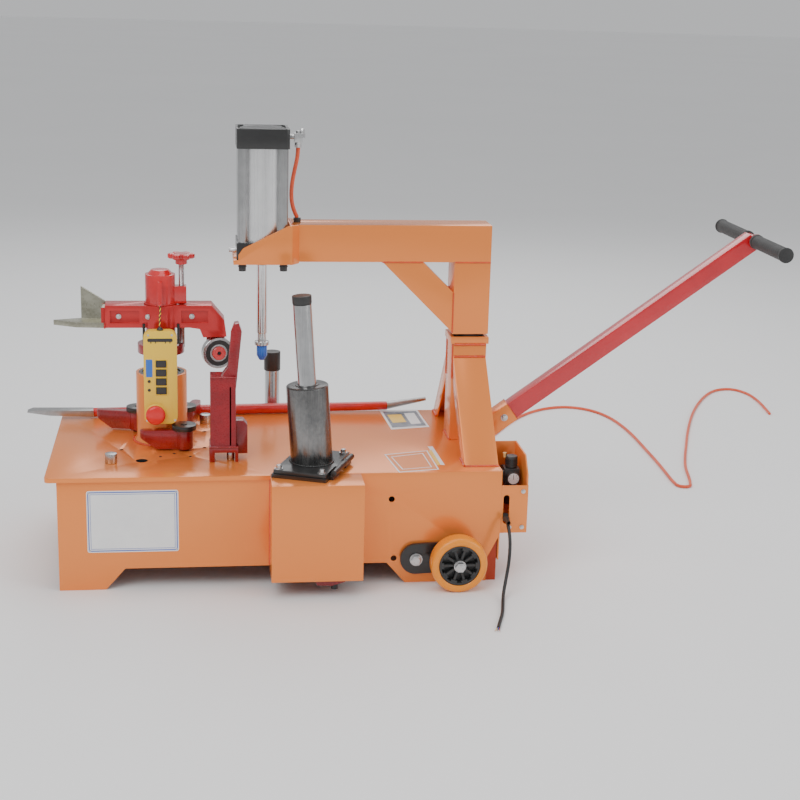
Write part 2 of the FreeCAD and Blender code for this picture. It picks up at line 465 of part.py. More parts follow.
def wheels():
    bolts = []
    face_y = -link_gap
    wheel_y = -link_gap - link_t - wheel_gap
    for place in ("front", "rear"):
        tread = ring(wheel_r, core_r, (wheel_x, wheel_y - wheel_t, wheel_r), wheel_t, Y)
        core = ring(core_r, core_r - 8, (wheel_x, wheel_y - wheel_t + 4, wheel_r), wheel_t - 8, Y)
        disc = rod(core_r - 8, (wheel_x, wheel_y - wheel_t / 2 - 4, wheel_r), 8, Y)
        hub = rod(18, (wheel_x, wheel_y - wheel_t, wheel_r), wheel_t + wheel_gap - 4, Y)
        ribs = [turned(block(wheel_x + 16, wheel_x + core_r - 7, wheel_y - wheel_t + 7, wheel_y - 7, wheel_r - 3, wheel_r + 3),
                       (wheel_x, 0, wheel_r), Y, 36 * k) for k in range(10)]
        core = fuse(core, disc, hub, *ribs).cut(rod(wheel_bolt_r + fit, (wheel_x, wheel_y - wheel_t, wheel_r), 90, Y))
        slope = math.degrees(math.atan2(wheel_r - link_z, wheel_x - link_x))
        span = math.hypot(wheel_x - link_x, wheel_r - link_z)
        low_y = face_y - link_t
        slab = fuse(rod(link_r, (link_x, low_y, link_z), link_t, Y), rod(link_r, (link_x + span, low_y, link_z), link_t, Y),
                    block(link_x, link_x + span, low_y, face_y, link_z - link_r, link_z + link_r))
        slab = turned(slab, (link_x, 0, link_z), Y, -slope)
        slab = slab.cut(rod(link_bolt_r + fit, (link_x, low_y, link_z), link_t, Y))
        axle = fuse(rod(wheel_bolt_r, (wheel_x, wheel_y - wheel_t - 14, wheel_r), wheel_t + wheel_gap + 14, Y),
                    hexagon(24, (wheel_x, wheel_y - wheel_t - 12, wheel_r), 11, Y))
        link = fuse(slab, axle)
        bolt = fuse(rod(link_bolt_r, (link_x, low_y - 2, link_z), link_t + link_gap + 2, Y),
                    hexagon(26, (link_x, low_y - gap - 12, link_z), 12, Y),
                    rod(17, (link_x, -link_gap + gap, link_z), link_gap - gap, Y))
        pieces = {"wheel_tread_": tread, "wheel_core_": core, "wheel_link_": link}
        for prefix, shape in pieces.items():
            parts[prefix + place] = shape if place == "front" else mirrored_y(shape, cabinet_d / 2)
        bolts.append(bolt if place == "front" else mirrored_y(bolt, cabinet_d / 2))
    bracket = prism([(652, box_bottom), (662, box_bottom - 20), (700, box_bottom - 22), (735, box_bottom - 12), (735, box_bottom)],
                    "xz", -74, -46)
    bolts.append(fuse(bracket, rod(9, (708, -60, box_bottom - 34), 16)))
    return bolts


def handle():
    base = (cabinet_w, column_y, handle_base_z)
    half = socket_w / 2

    def along(start, stop, w):
        return block(cabinet_w + start, cabinet_w + stop, column_y - w, column_y + w, handle_base_z - w, handle_base_z + w)

    socket = along(-60, socket_l, half).cut(along(handle_stop, socket_l, half - socket_wall))
    socket = turned(socket, base, Y, -handle_angle)
    parts["handle_socket"] = socket.cut(block(cabinet_w - 150, cabinet_w, 200, 500, 0, 500))
    outer = half - socket_wall - slide_gap
    tube = along(handle_stop, handle_l, outer).cut(along(handle_stop, handle_l - 6, outer - handle_wall))
    bar = rod(bar_r, (cabinet_w + handle_l, column_y - bar_half, handle_base_z), 2 * bar_half, Y)
    grips = [ring(grip_r, bar_r, (cabinet_w + handle_l, y, handle_base_z), bar_half - grip_start + 2, Y)
             for y in (column_y - bar_half - 2, column_y + grip_start)]
    ends = [rod(bar_r, (cabinet_w + handle_l, y, handle_base_z), 2, Y)
            for y in (column_y - bar_half - 2, column_y + bar_half)]
    grips = [fuse(grips[0], ends[0]), fuse(grips[1], ends[1])]
    tube = fuse(tube, bar)
    parts["handle_bar"] = turned(group(tube, *grips), base, Y, -handle_angle)


def remote():
    left, right = remote_x - remote_w / 2, remote_x + remote_w / 2
    case = block(left, right, remote_y, remote_y + remote_t, remote_z0, remote_z1)
    long_edges = [e for e in case.Edges if abs(e.Vertexes[0].Y - e.Vertexes[-1].Y) > 1]
    case = case.makeFillet(20, long_edges)
    g = pocket_gap
    for k in range(4):
        z = button_top_z - k * button_pitch
        case = case.cut(block(button_x - button_w / 2 - g, button_x + button_w / 2 + g, remote_y, remote_y + button_in + 5,
                              z - button_h / 2 - g, z + button_h / 2 + g))
        parts[f"remote_button_{k + 1}"] = block(button_x - button_w / 2, button_x + button_w / 2,
                                                remote_y - button_out, remote_y + button_in,
                                                z - button_h / 2, z + button_h / 2)
    case = case.cut(rod(stop_stem_r + g, (stop_x, remote_y, stop_z), 20, Y))
    parts["remote_case"] = fuse(case, rod(7, (remote_x, remote_y + 17, remote_z1 - 1), 5))
    parts["remote_stop"] = fuse(rod(stop_stem_r, (stop_x, remote_y - 10, stop_z), 24, Y),
                                rod(stop_r, (stop_x, remote_y - 22, stop_z), 13, Y))
    top_y = post_y - hub_r - 21
    route = [(post_x, top_y, beam_z1 + 4.6), (post_x + 1.5, top_y - 6, beam_z1 - 10), (post_x - 1.5, top_y - 22, beam_z1 - 26),
             (post_x, remote_y + 17, remote_z1 + 5)]
    parts["remote_lanyard"] = cord_tube("remote_lanyard", route, lanyard_r)


def loose_tools():
    y, z = 562.0, table_top + 15 + gap
    bar = rod(13, (60, y, z), 860, X)
    taper = Part.makeCone(12.5, 6, 126, V(914, y, z), V(1, 0, 0.15))
    blade = prism([(-125, z + 8), (-110, z + 14), (60, z + 10), (62, z - 9), (-60, z - 3)], "xz", y - 17, y + 17)
    tool = fuse(bar, taper, blade)
    grip = ring(15, 13, (330, y, z), 390, X)
    pry = group(tool, grip)
    parts["pry_bar"] = turned(pry, (60, y, z), Z, 3.0)

    t = table_top
    foot = block(388, 464, 112, 196, t, t + 42).cut(block(402, 456, 100, 210, t, t + 26))
    post = block(391, 458, 118, 190, t + 42, t + 228).cut(block(396, 453, 123, 185, t + 42, t + 223))
    horn = [(420, 228), (438, 253), (446, 343), (455, 369), (466, 371), (474, 349), (462, 228), (458, 193), (440, 193)]
    horn = prism([(x, t + h) for x, h in horn], "xz", 128, 168)
    flange = [(458, 15), (489, 15), (489, 93), (478, 106), (458, 106)]
    flange = prism([(x, t + h) for x, h in flange], "xz", 140, 180)
    parts["horn_stop"] = fuse(foot, post, horn, flange)


def regulator():
    x0, x1, t = cabinet_w, cabinet_w + house_w, sheet_t
    outer = block(x0, x1, 0, house_d, house_z0, house_z1)
    shell = outer.cut(block(x0, x1 - t, t, house_d - t, house_z0 + t, house_z1))
    shell = shell.cut(block(x0, x1, -1, t + 1, house_lip, house_z1 + 1))
    shell = shell.cut(prism([(-1, house_z1 + 1), (46, house_z1 + 1), (-1, house_lip + 20)], "yz", x1 - t - 1, x1 + 1))
    slot = fuse(block(x0 + 6, x0 + 22, -1, t + 1, 168, 232), rod(8, (x0 + 14, -1, 168), t + 2, Y),
                rod(8, (x0 + 14, -1, 232), t + 2, Y))
    shell = shell.cut(slot)
    port = (x0 + 36, house_d - t, 262)
    parts["regulator_housing"] = shell.cut(rod(9, (port[0], port[1] - 1, port[2]), t + 2, Y))
    cx, cy = x0 + 40, 84.0
    body = fuse(block(cx - 20, cx + 20, cy - 20, cy + 20, 250, 292), rod(17, (cx, cy, 190), 60),
                rod(18, (cx, cy - 32, 270), 14, Y), rod(9, (port[0], cy + 18, port[2]), house_d + 12 - cy - 18, Y),
                block(x0, cx - 18, cy - 14, cy + 14, 256, 284))
    parts["air_regulator"] = body.cut(rod(5 + fit, (cx, cy, 280), 13))
    parts["regulator_knob"] = fuse(rod(17, (cx, cy, 292 + gap), 32), rod(5, (cx, cy, 281), 12))
    gland_z = 176.0
    gland_x = x0 + 14
    gland = fuse(rod(7.6, (gland_x, -8, gland_z), 30, Y), rod(11, (gland_x, t, gland_z), 8, Y))
    parts["base_fittings"] = group(*base_bolts, gland)
    points = [(gland_x, -8.8, gland_z), (gland_x, -42, gland_z - 9), (gland_x, -72, gland_z - 42),
              (gland_x - 4, -86, gland_z - 92), (gland_x - 13, -98, gland_z - 136), (gland_x - 25, -128, 10),
              (gland_x - 36, -182, cord_r), (gland_x - 48, -238, cord_r), (gland_x - 64, -286, cord_r + 0.1),
              (gland_x - 76, -326, cord_r)]
    parts["power_cord"] = cord_tube("power_cord", points, cord_r)
    hx, hy, hz = port[0], house_d + 12, port[2]
    floor = hose_r
    points = [(hx, hy + 0.8, hz), (hx, hy + 62, hz - 8), (hx + 1, hy + 150, hz - 62), (hx + 3, hy + 240, hz - 150),
              (hx + 6, hy + 340, hz - 222), (hx + 10, hy + 455, floor + 6), (1208, 790, floor), (1226, 920, floor),
              (1258, 1045, floor), (1304, 1165, floor), (1362, 1280, floor), (1424, 1392, floor), (1486, 1502, floor),
              (1556, 1604, floor), (1646, 1688, floor), (1748, 1722, floor), (1834, 1672, floor), (1880, 1570, floor),
              (1898, 1444, floor), (1903, 1306, floor), (1900, 1166, floor), (1898, 1030, floor), (1893, 910, floor),
              (1888, 830, floor), (1888, 783, floor), (1889, 757, floor), (1900, 744, floor), (1917, 741, floor),
              (1931, 750, floor), (1938, 774, floor), (1951, 822, floor), (1976, 950, floor), (2017, 1078, floor), (2062, 1206, floor),
              (2108, 1338, floor), (2158, 1470, floor), (2212, 1602, floor), (2272, 1728, floor), (2340, 1850, floor),
              (2414, 1946, floor), (2490, 1966, floor), (2530, 1900, floor), (2536, 1800, floor), (2526, 1690, floor),
              (2512, 1590, floor)]
    parts["air_hose"] = cord_tube("air_hose", points, hose_r)


cabinet()
drive()
post_and_spindle()
tool_head()
claws()
column()
press_arm()
ram_foot, hinge_line = rams()
base_bolts = wheels()
handle()
remote()
loose_tools()
regulator()

free_cords = ("power_cord", "air_hose")
body_box = FreeCAD.BoundBox()
for name, shape in parts.items():
    if name not in free_cords:
        body_box.add(shape.optimalBoundingBox(False))
shift = V(-(body_box.XMin + body_box.XMax) / 2, -(body_box.YMin + body_box.YMax) / 2, -body_box.ZMin)
print("origin shift", tuple(round(v, 3) for v in shift), "box", [round(v, 1) for v in (
    body_box.XLength, body_box.YLength, body_box.ZLength)])

if __name__ == "__main__":
    os.makedirs("parts", exist_ok=True)
    for name, shape in parts.items():
        moved = shape.copy()
        moved.translate(shift)
        moved.exportStep(f"parts/{name}.step")
        if not moved.isValid() or not moved.Solids:
            print("CHECK", name, moved.isValid(), len(moved.Solids))
    print(len(parts), "nodes")
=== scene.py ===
"""Tire changer machine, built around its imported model.

Lengths in the functions are millimetres from the cabinet's front left corner on the floor:
x runs along the cabinet, y from its front to its back and z up.
"""
import math

import bmesh
import bpy
from bpy.props import FloatProperty, FloatVectorProperty, IntProperty, PointerProperty
from mathutils import Matrix, Vector


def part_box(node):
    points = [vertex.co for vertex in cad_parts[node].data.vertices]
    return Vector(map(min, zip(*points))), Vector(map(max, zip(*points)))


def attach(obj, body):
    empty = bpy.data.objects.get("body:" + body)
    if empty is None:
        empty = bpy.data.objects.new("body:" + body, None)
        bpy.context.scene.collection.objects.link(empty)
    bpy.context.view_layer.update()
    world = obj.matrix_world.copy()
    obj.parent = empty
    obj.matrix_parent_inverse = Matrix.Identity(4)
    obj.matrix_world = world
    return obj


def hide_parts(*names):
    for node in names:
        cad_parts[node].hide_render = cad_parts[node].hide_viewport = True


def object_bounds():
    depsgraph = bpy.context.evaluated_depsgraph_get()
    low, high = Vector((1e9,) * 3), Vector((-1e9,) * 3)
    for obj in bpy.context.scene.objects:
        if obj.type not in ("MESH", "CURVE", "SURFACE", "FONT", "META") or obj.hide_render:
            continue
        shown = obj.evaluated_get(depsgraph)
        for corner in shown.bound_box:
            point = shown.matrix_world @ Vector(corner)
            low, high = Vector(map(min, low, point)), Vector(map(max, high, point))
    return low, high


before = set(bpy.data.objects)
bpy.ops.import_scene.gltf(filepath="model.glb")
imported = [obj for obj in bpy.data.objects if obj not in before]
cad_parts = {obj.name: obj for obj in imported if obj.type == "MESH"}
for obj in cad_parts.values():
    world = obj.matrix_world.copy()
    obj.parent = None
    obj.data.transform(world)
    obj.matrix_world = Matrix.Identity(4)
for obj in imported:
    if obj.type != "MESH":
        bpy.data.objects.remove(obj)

bl_info = {
    "name": "Tire Changer Machine",
    "version": (1, 0, 0),
    "blender": (4, 5, 0),
    "location": "View3D > Sidebar > Tire Changer",
    "description": "Builds the visible pieces of a tire changer machine around its packed model",
    "category": "Add Mesh",
}

CAD_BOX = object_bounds()
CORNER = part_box("cabinet_skirt")[0]
X, Y, Z = Vector((1, 0, 0)), Vector((0, 1, 0)), Vector((0, 0, 1))
TOWARDS_FRONT = (0, -1, 0)

# Places of the main parts in plan, in the machine's frame
TABLE_TOP = 307.0
POST = (261, 340)
HEIGHT_SCREW = (318, 340)
CYLINDER = (535, 340)
SWIVEL = (1106, 340)
REAR_RAM = (581, 682)
LIFTER_CORNER, LIFTER_TURN, LIFTER_LEAN = (680, -80), 22.2, 4.0
WHEEL_X, WHEEL_Z, LINK_X, LINK_Z, WHEEL_GAP, CABINET_DEPTH = 1034, 75, 928, 70, 61.0, 609
CROSS_BAR = (1912.05, 340, 869.75)
HANDLE_FOOT, HANDLE_SLOPE = (1154, 340, 319), 36
REMOTE_FRONT = 224.0
SOFTBOX_SHARE = 0.55


def at(x, y, z):
    """A point in the machine's frame, in metres."""
    return CORNER + Vector((x, y, z)) / 1000


# ---------------------------------------------------------------- settings

class TireChangerColours(bpy.types.PropertyGroup):
    cabinet_paint: FloatVectorProperty(name="Cabinet paint",
                                       description="Orange of the cabinet, column and press arm",
                                       subtype="COLOR", size=3, min=0, max=1, default=(0.80, 0.072, 0.008))
    tool_paint: FloatVectorProperty(name="Tool paint", description="Red of the tool arm and the claws",
                                    subtype="COLOR", size=3, min=0, max=1, default=(0.42, 0.008, 0.02))
    handle_paint: FloatVectorProperty(name="Handle paint", description="Red of the push handle",
                                      subtype="COLOR", size=3, min=0, max=1, default=(0.62, 0.015, 0.025))
    remote_case: FloatVectorProperty(name="Remote case", description="Yellow of the remote control's case",
                                     subtype="COLOR", size=3, min=0, max=1, default=(0.92, 0.68, 0.01))
    wheel_tread: FloatVectorProperty(name="Wheel tread", description="Amber of the wheels' treads",
                                     subtype="COLOR", size=3, min=0, max=1, default=(0.95, 0.30, 0.01))


class TireChangerSizes(bpy.types.PropertyGroup):
    bead: FloatProperty(name="Weld bead", description="Radius of the weld beads", default=0.0032, min=0.001,
                        max=0.01, unit="LENGTH")
    edge: FloatProperty(name="Edge rounding", description="Rounding of painted steel edges", default=0.0016,
                        min=0.0002, max=0.006, unit="LENGTH")
    ribs: IntProperty(name="Wheel ribs", description="Ribs in each wheel's core", default=10, min=4, max=24)
    thread_pitch: FloatProperty(name="Thread pitch",
                                description="Distance between the height screw's threads", default=0.003,
                                min=0.001, max=0.01, unit="LENGTH")


def colours():
    return bpy.context.scene.tire_changer_colours


def sizes():
    return bpy.context.scene.tire_changer_sizes


# ---------------------------------------------------------------- finishes

def shader_group(name, inputs, outputs):
    """An empty shader group with named sockets; returns it with its input and output nodes."""
    tree = bpy.data.node_groups.new(name, "ShaderNodeTree")
    for label, kind, value in inputs:
        socket = tree.interface.new_socket(name=label, in_out="INPUT", socket_type=kind)
        if value is not None:
            socket.default_value = value
    for label, kind in outputs:
        tree.interface.new_socket(name=label, in_out="OUTPUT", socket_type=kind)
    return tree, tree.nodes.new("NodeGroupInput"), tree.nodes.new("NodeGroupOutput")


def uneven_tone_group():
    """A soft, cloudy mask and a finer one, for colour and gloss that vary over a surface."""
    if "uneven_tone" in bpy.data.node_groups:
        return bpy.data.node_groups["uneven_tone"]
    tree, inp, out = shader_group("uneven_tone", [("Vector", "NodeSocketVector", None),
                                                  ("Patch size", "NodeSocketFloat", 5.0),
                                                  ("Contrast", "NodeSocketFloat", 1.0)],
                                  [("Tone", "NodeSocketFloat")])
    cloud, fine = tree.nodes.new("ShaderNodeTexNoise"), tree.nodes.new("ShaderNodeTexNoise")
    cloud.inputs["Detail"].default_value, fine.inputs["Detail"].default_value = 3.0, 6.0
    scale_up = tree.nodes.new("ShaderNodeMath")
    scale_up.operation = "MULTIPLY"
    scale_up.inputs[1].default_value = 7.0
    mix = tree.nodes.new("ShaderNodeMix")
    mix.data_type = "FLOAT"
    mix.inputs[0].default_value = 0.35
    spread = tree.nodes.new("ShaderNodeMapRange")
    spread.inputs["From Min"].default_value, spread.inputs["From Max"].default_value = 0.35, 0.65
    power = tree.nodes.new("ShaderNodeMath")
    power.operation = "MULTIPLY"
    link = tree.links.new
    link(inp.outputs["Vector"], cloud.inputs["Vector"])
    link(inp.outputs["Vector"], fine.inputs["Vector"])
    link(inp.outputs["Patch size"], cloud.inputs["Scale"])
    link(inp.outputs["Patch size"], scale_up.inputs[0])
    link(scale_up.outputs[0], fine.inputs["Scale"])
    link(cloud.outputs["Fac"], mix.inputs[2])
    link(fine.outputs["Fac"], mix.inputs[3])
    link(mix.outputs[0], spread.inputs["Value"])
    link(spread.outputs["Result"], power.inputs[0])
    link(inp.outputs["Contrast"], power.inputs[1])
    link(power.outputs[0], out.inputs["Tone"])
    return tree


def grain_group():
    """Fine bumps, even or drawn out into brushed lines by the Stretch vector."""
    if "surface_grain" in bpy.data.node_groups:
        return bpy.data.node_groups["surface_grain"]
    tree, inp, out = shader_group("surface_grain", [("Vector", "NodeSocketVector", None),
                                                    ("Stretch", "NodeSocketVector", (1.0, 1.0, 1.0)),
                                                    ("Scale", "NodeSocketFloat", 400.0)],
                                  [("Height", "NodeSocketFloat")])
    stretch = tree.nodes.new("ShaderNodeVectorMath")
    stretch.operation = "MULTIPLY"
    noise = tree.nodes.new("ShaderNodeTexNoise")
    noise.inputs["Detail"].default_value = 4.0
    link = tree.links.new
    link(inp.outputs["Vector"], stretch.inputs[0])
    link(inp.outputs["Stretch"], stretch.inputs[1])
    link(stretch.outputs[0], noise.inputs["Vector"])
    link(inp.outputs["Scale"], noise.inputs["Scale"])
    link(noise.outputs["Fac"], out.inputs["Height"])
    return tree


def new_finish(name, light, dark, rough, metal=0.0, coat=0.0, grain=500.0, depth=0.08, patch=5.0,
               stretch=(1, 1, 1), gloss_change=0.08, sheen=0.0):
    """A painted, moulded or metal finish; its colour drifts between light and dark, with a fine grain."""
    mat = bpy.data.materials.new(name)
    mat.use_nodes = True
    nodes, link = mat.node_tree.nodes, mat.node_tree.links.new
    shader = nodes["Principled BSDF"]
    shader.inputs["Metallic"].default_value = metal
    shader.inputs["Coat Weight"].default_value = coat
    shader.inputs["Coat Roughness"].default_value = 0.06
    shader.inputs["Sheen Weight"].default_value = sheen
    where = nodes.new("ShaderNodeTexCoord")
    tone = nodes.new("ShaderNodeGroup")
    tone.node_tree = uneven_tone_group()
    tone.inputs["Patch size"].default_value = patch
    colour = nodes.new("ShaderNodeMix")
    colour.data_type = "RGBA"
    colour.inputs[6].default_value, colour.inputs[7].default_value = (*light, 1), (*dark, 1)
    bumps = nodes.new("ShaderNodeGroup")
    bumps.node_tree = grain_group()
    bumps.inputs["Scale"].default_value = grain
    bumps.inputs["Stretch"].default_value = stretch
    bump = nodes.new("ShaderNodeBump")
    bump.inputs["Strength"].default_value, bump.inputs["Distance"].default_value = depth, 0.0006
    gloss = nodes.new("ShaderNodeMapRange")
    gloss.inputs["From Min"].default_value, gloss.inputs["From Max"].default_value = 0.3, 0.7
    gloss.inputs["To Min"].default_value = max(0.03, rough - gloss_change)
    gloss.inputs["To Max"].default_value = rough + gloss_change
    link(where.outputs["Object"], tone.inputs["Vector"])
    link(where.outputs["Object"], bumps.inputs["Vector"])
    link(tone.outputs["Tone"], colour.inputs[0])
    link(colour.outputs[2], shader.inputs["Base Color"])
    link(bumps.outputs["Height"], bump.inputs["Height"])
    link(bump.outputs["Normal"], shader.inputs["Normal"])
    link(bumps.outputs["Height"], gloss.inputs["Value"])
    link(gloss.outputs["Result"], shader.inputs["Roughness"])
    return mat


def shade(colour, factor):
    """The colour made darker or lighter by a factor."""
    return tuple(min(1.0, c * factor) for c in colour)


def grey(value, warm=0.0):
    """A neutral grey, or a slightly warm one."""
    return (value * (1 + warm), value, value * (1 - warm))


def finish(name):
    """The finish of that name, made the first time it is asked for."""
    if name in bpy.data.materials:
        return bpy.data.materials[name]
    c = colours()
    orange, red, handle = tuple(c.cabinet_paint), tuple(c.tool_paint), tuple(c.handle_paint)
    recipes = {
        "orange_paint": dict(light=orange, dark=shade(orange, 0.88), rough=0.2, coat=0.7, grain=900,
                             depth=0.03, patch=4),
        # Painted shade: the cabinet orange darkened for the inner frame inside the cabinet.
        "orange_painted_shade": dict(light=shade(orange, 0.6), dark=shade(orange, 0.4), rough=0.45, grain=500,
                                  depth=0.1),
        "weld_paint": dict(light=shade(orange, 0.95), dark=shade(orange, 0.7), rough=0.25, coat=0.5,
                           grain=700, depth=0.15, patch=60),
        "red_paint": dict(light=red, dark=shade(red, 0.7), rough=0.24, coat=0.6, grain=800, depth=0.05,
                          patch=9),
        "bright_red_paint": dict(light=(0.68, 0.02, 0.02), dark=(0.5, 0.012, 0.015), rough=0.2, coat=0.7,
                                 grain=700, depth=0.05, patch=12),
        "handle_paint": dict(light=handle, dark=shade(handle, 0.8), rough=0.22, coat=0.6, grain=800,
                             depth=0.05, patch=5),
        "claw_paint": dict(light=(0.34, 0.006, 0.012), dark=(0.2, 0.004, 0.008), rough=0.3, coat=0.5,
                           grain=500, depth=0.08, patch=14),
        "black_paint": dict(light=grey(0.012), dark=grey(0.02), rough=0.35, coat=0.3, grain=600, depth=0.1,
                            patch=12),
        "black_plastic": dict(light=grey(0.014), dark=grey(0.024), rough=0.42, grain=1500, depth=0.12,
                              patch=20),
        "grip_rubber": dict(light=grey(0.02), dark=grey(0.034), rough=0.7, grain=900, depth=0.35, patch=30,
                            sheen=0.1),
        "bright_steel": dict(light=grey(0.72), dark=grey(0.58), rough=0.16, metal=1.0, grain=300,
                             depth=0.03, stretch=(1, 1, 0.03), patch=10),
        "turned_steel": dict(light=grey(0.62), dark=grey(0.45), rough=0.28, metal=1.0, grain=500,
                             depth=0.08, stretch=(0.05, 0.05, 1), patch=14),
        "dark_steel": dict(light=grey(0.24, 0.02), dark=grey(0.14), rough=0.26, metal=0.95, grain=260,
                           depth=0.06, stretch=(1, 1, 0.02), patch=16),
        "bar_steel": dict(light=grey(0.5), dark=grey(0.36), rough=0.34, metal=1.0, grain=300, depth=0.08,
                          stretch=(0.03, 1, 1), patch=10),
        "shoe_steel": dict(light=(0.42, 0.41, 0.33), dark=(0.26, 0.25, 0.19), rough=0.34, metal=0.85,
                           grain=180, depth=0.15, patch=25),
        "zinc": dict(light=grey(0.66), dark=grey(0.5), rough=0.3, metal=1.0, grain=700, depth=0.08, patch=60),
        "tube_alloy": dict(light=grey(0.86), dark=grey(0.74), rough=0.3, metal=1.0, grain=200, depth=0.03,
                           stretch=(1, 1, 0.01), patch=6),
        # Painted reflection: the tube alloy darkened for the cylinder's lobes.
        "alloy_painted_dark_reflection": dict(light=grey(0.5), dark=grey(0.36), rough=0.25, metal=1.0, grain=200, depth=0.03,
                           stretch=(1, 1, 0.01), patch=6),
        "cast_grey": dict(light=grey(0.12), dark=grey(0.08), rough=0.6, metal=0.2, grain=300, depth=0.3,
                          patch=20),
        "bronze": dict(light=(0.45, 0.3, 0.13), dark=(0.3, 0.2, 0.08), rough=0.4, metal=1.0, grain=400,
                       depth=0.1),
        "brass": dict(light=(0.75, 0.5, 0.2), dark=(0.6, 0.4, 0.15), rough=0.28, metal=1.0, grain=500,
                      depth=0.05),
        "yellow_plastic": dict(light=tuple(c.remote_case), dark=shade(c.remote_case, 0.86), rough=0.4,
                               grain=1400, depth=0.06, patch=14),
        "red_plastic": dict(light=(0.62, 0.012, 0.014), dark=(0.5, 0.01, 0.012), rough=0.3, grain=1200,
                            depth=0.05, patch=20),
        "blue_plastic": dict(light=(0.015, 0.06, 0.42), dark=(0.01, 0.04, 0.3), rough=0.3, grain=1200,
                             depth=0.05, patch=30),
        "amber_tread": dict(light=tuple(c.wheel_tread), dark=shade(c.wheel_tread, 0.88), rough=0.32,
                            coat=0.15, grain=500, depth=0.06, patch=14),
        "hose_orange": dict(light=(0.86, 0.13, 0.05), dark=(0.7, 0.09, 0.035), rough=0.35, grain=700,
                            depth=0.08, patch=14),
        "cord_black": dict(light=grey(0.016), dark=grey(0.028), rough=0.5, grain=900, depth=0.15, patch=30),
        "copper": dict(light=(0.8, 0.42, 0.25), dark=(0.65, 0.3, 0.16), rough=0.3, metal=1.0, grain=900,
                       depth=0.1),
        "sticker_white": dict(light=(0.86, 0.86, 0.85), dark=(0.8, 0.8, 0.8), rough=0.35, coat=0.3,
                              grain=900, depth=0.02, patch=8),
        "sticker_blue": dict(light=(0.03, 0.09, 0.5), dark=(0.02, 0.07, 0.4), rough=0.35, coat=0.3,
                             grain=900, depth=0.02),
        "sticker_grey": dict(light=(0.28, 0.3, 0.36), dark=(0.05, 0.06, 0.08), rough=0.35, coat=0.3,
                             grain=900, depth=0.02, patch=34),
        "sticker_yellow": dict(light=(0.95, 0.62, 0.02), dark=(0.9, 0.5, 0.02), rough=0.35, coat=0.3,
                               grain=900, depth=0.02),
        # Near black: used for the bearings and bushes and the gauge's needle and marks, and as painted shade
        # inside the table's holes, behind the cord slot and in the roller axle's centre hole.
        "dark_inside": dict(light=grey(0.01), dark=grey(0.02), rough=0.6, grain=300, depth=0.2),
        "pale_floor": dict(light=(0.93, 0.93, 0.93), dark=(0.91, 0.91, 0.91), rough=0.6, grain=50,
                           depth=0.0, patch=0.4),
    }
    return new_finish(name, **recipes[name])


# ---------------------------------------------------------------- mesh tools

def soften(bm, width, angle=38, segments=2):
    """Rounds the sharp edges of a closed mesh. The width is in millimetres."""
    sharp = [e for e in bm.edges if len(e.link_faces) == 2 and e.calc_face_angle(0) > math.radians(angle)]
    if sharp and width > 0:
        bmesh.ops.bevel(bm, geom=sharp, offset=width / 1000, offset_type="OFFSET", segments=segments,
                        profile=0.6, affect="EDGES", clamp_overlap=True)
    return bm


def keep(bm, name, body, finishes, stands_for=(), sharp=34, outward=True):
    """Turns a mesh under work into a finished piece that rides on its body."""
    if outward:
        bmesh.ops.recalc_face_normals(bm, faces=bm.faces)
    for face in bm.faces:
        face.smooth = True
    for edge in bm.edges:
        if len(edge.link_faces) == 2 and edge.calc_face_angle(0) > math.radians(sharp):
            edge.smooth = False
    mesh = bpy.data.meshes.new(name)
    bm.to_mesh(mesh)
    bm.free()
    piece = bpy.data.objects.new(name, mesh)
    bpy.context.scene.collection.objects.link(piece)
    for one in ([finishes] if isinstance(finishes, str) else finishes):
        mesh.materials.append(finish(one))
    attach(piece, body)
    if stands_for:
        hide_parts(*stands_for)
    return piece


def merged(node):
    """A merged copy of a CAD node's triangles, with its flat faces joined up."""
    bm = bmesh.new()
    bm.from_mesh(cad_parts[node].data)
    bmesh.ops.remove_doubles(bm, verts=bm.verts, dist=2e-6)
    bmesh.ops.dissolve_limit(bm, angle_limit=math.radians(0.3), verts=bm.verts, edges=bm.edges)
    return bm


def refined(node, body, finishes, rounding=1.6, choose=None):
    """The node's own shape with rounded edges; choose(centre in mm, face) picks each face's finish."""
    bm = soften(merged(node), rounding)
    if choose:
        for face in bm.faces:
            face.material_index = choose((face.calc_center_median() - CORNER) * 1000, face)
    return keep(bm, node + "_finished", body, finishes, [node], outward=False)


def add_box(bm, x0, x1, y0, y1, z0, z1, index=0):
    low, high = at(x0, y0, z0), at(x1, y1, z1)
    made = bmesh.ops.create_cube(bm, size=1.0)["verts"]
    for v in made:
        v.co = Vector([low[k] if v.co[k] < 0 else high[k] for k in range(3)])
    for face in {f for v in made for f in v.link_faces}:
        face.material_index = index
    return made


def add_lathe(bm, profile, centre, axis=Z, steps=48, index=0):
    """A turned shape from (radius, distance along the axis) points in millimetres; radius 0 closes an end."""
    axis = Vector(axis).normalized()
    side = axis.orthogonal().normalized()
    across = axis.cross(side)
    origin = at(*centre)
    rings = []
    for r, h in profile:
        base = origin + axis * h / 1000
        if r < 0.01:
            rings.append([bm.verts.new(base)])
        else:
            rings.append([bm.verts.new(base + (side * math.cos(a) + across * math.sin(a)) * r / 1000)
                          for a in (2 * math.pi * k / steps for k in range(steps))])
    faces = []
    pairs = list(zip(rings, rings[1:]))
    if len(rings[0]) > 1 and len(rings[-1]) > 1:
        pairs.append((rings[-1], rings[0]))
    for a, b in pairs:
        for k in range(steps):
            n = (k + 1) % steps
            if len(a) == 1:
                faces.append(bm.faces.new((a[0], b[n], b[k])))
            elif len(b) == 1:
                faces.append(bm.faces.new((a[k], a[n], b[0])))
            else:
                faces.append(bm.faces.new((a[k], a[n], b[n], b[k])))
    for face in faces:
        face.material_index = index
    return faces


def turned_piece(name, body, look, profile, centre, axis=Z, steps=48, stands_for=(), sharp=34):
    """A finished piece made of one turned shape."""
    bm = bmesh.new()
    add_lathe(bm, profile, centre, axis, steps)
    return keep(bm, name, body, look, stands_for, sharp)


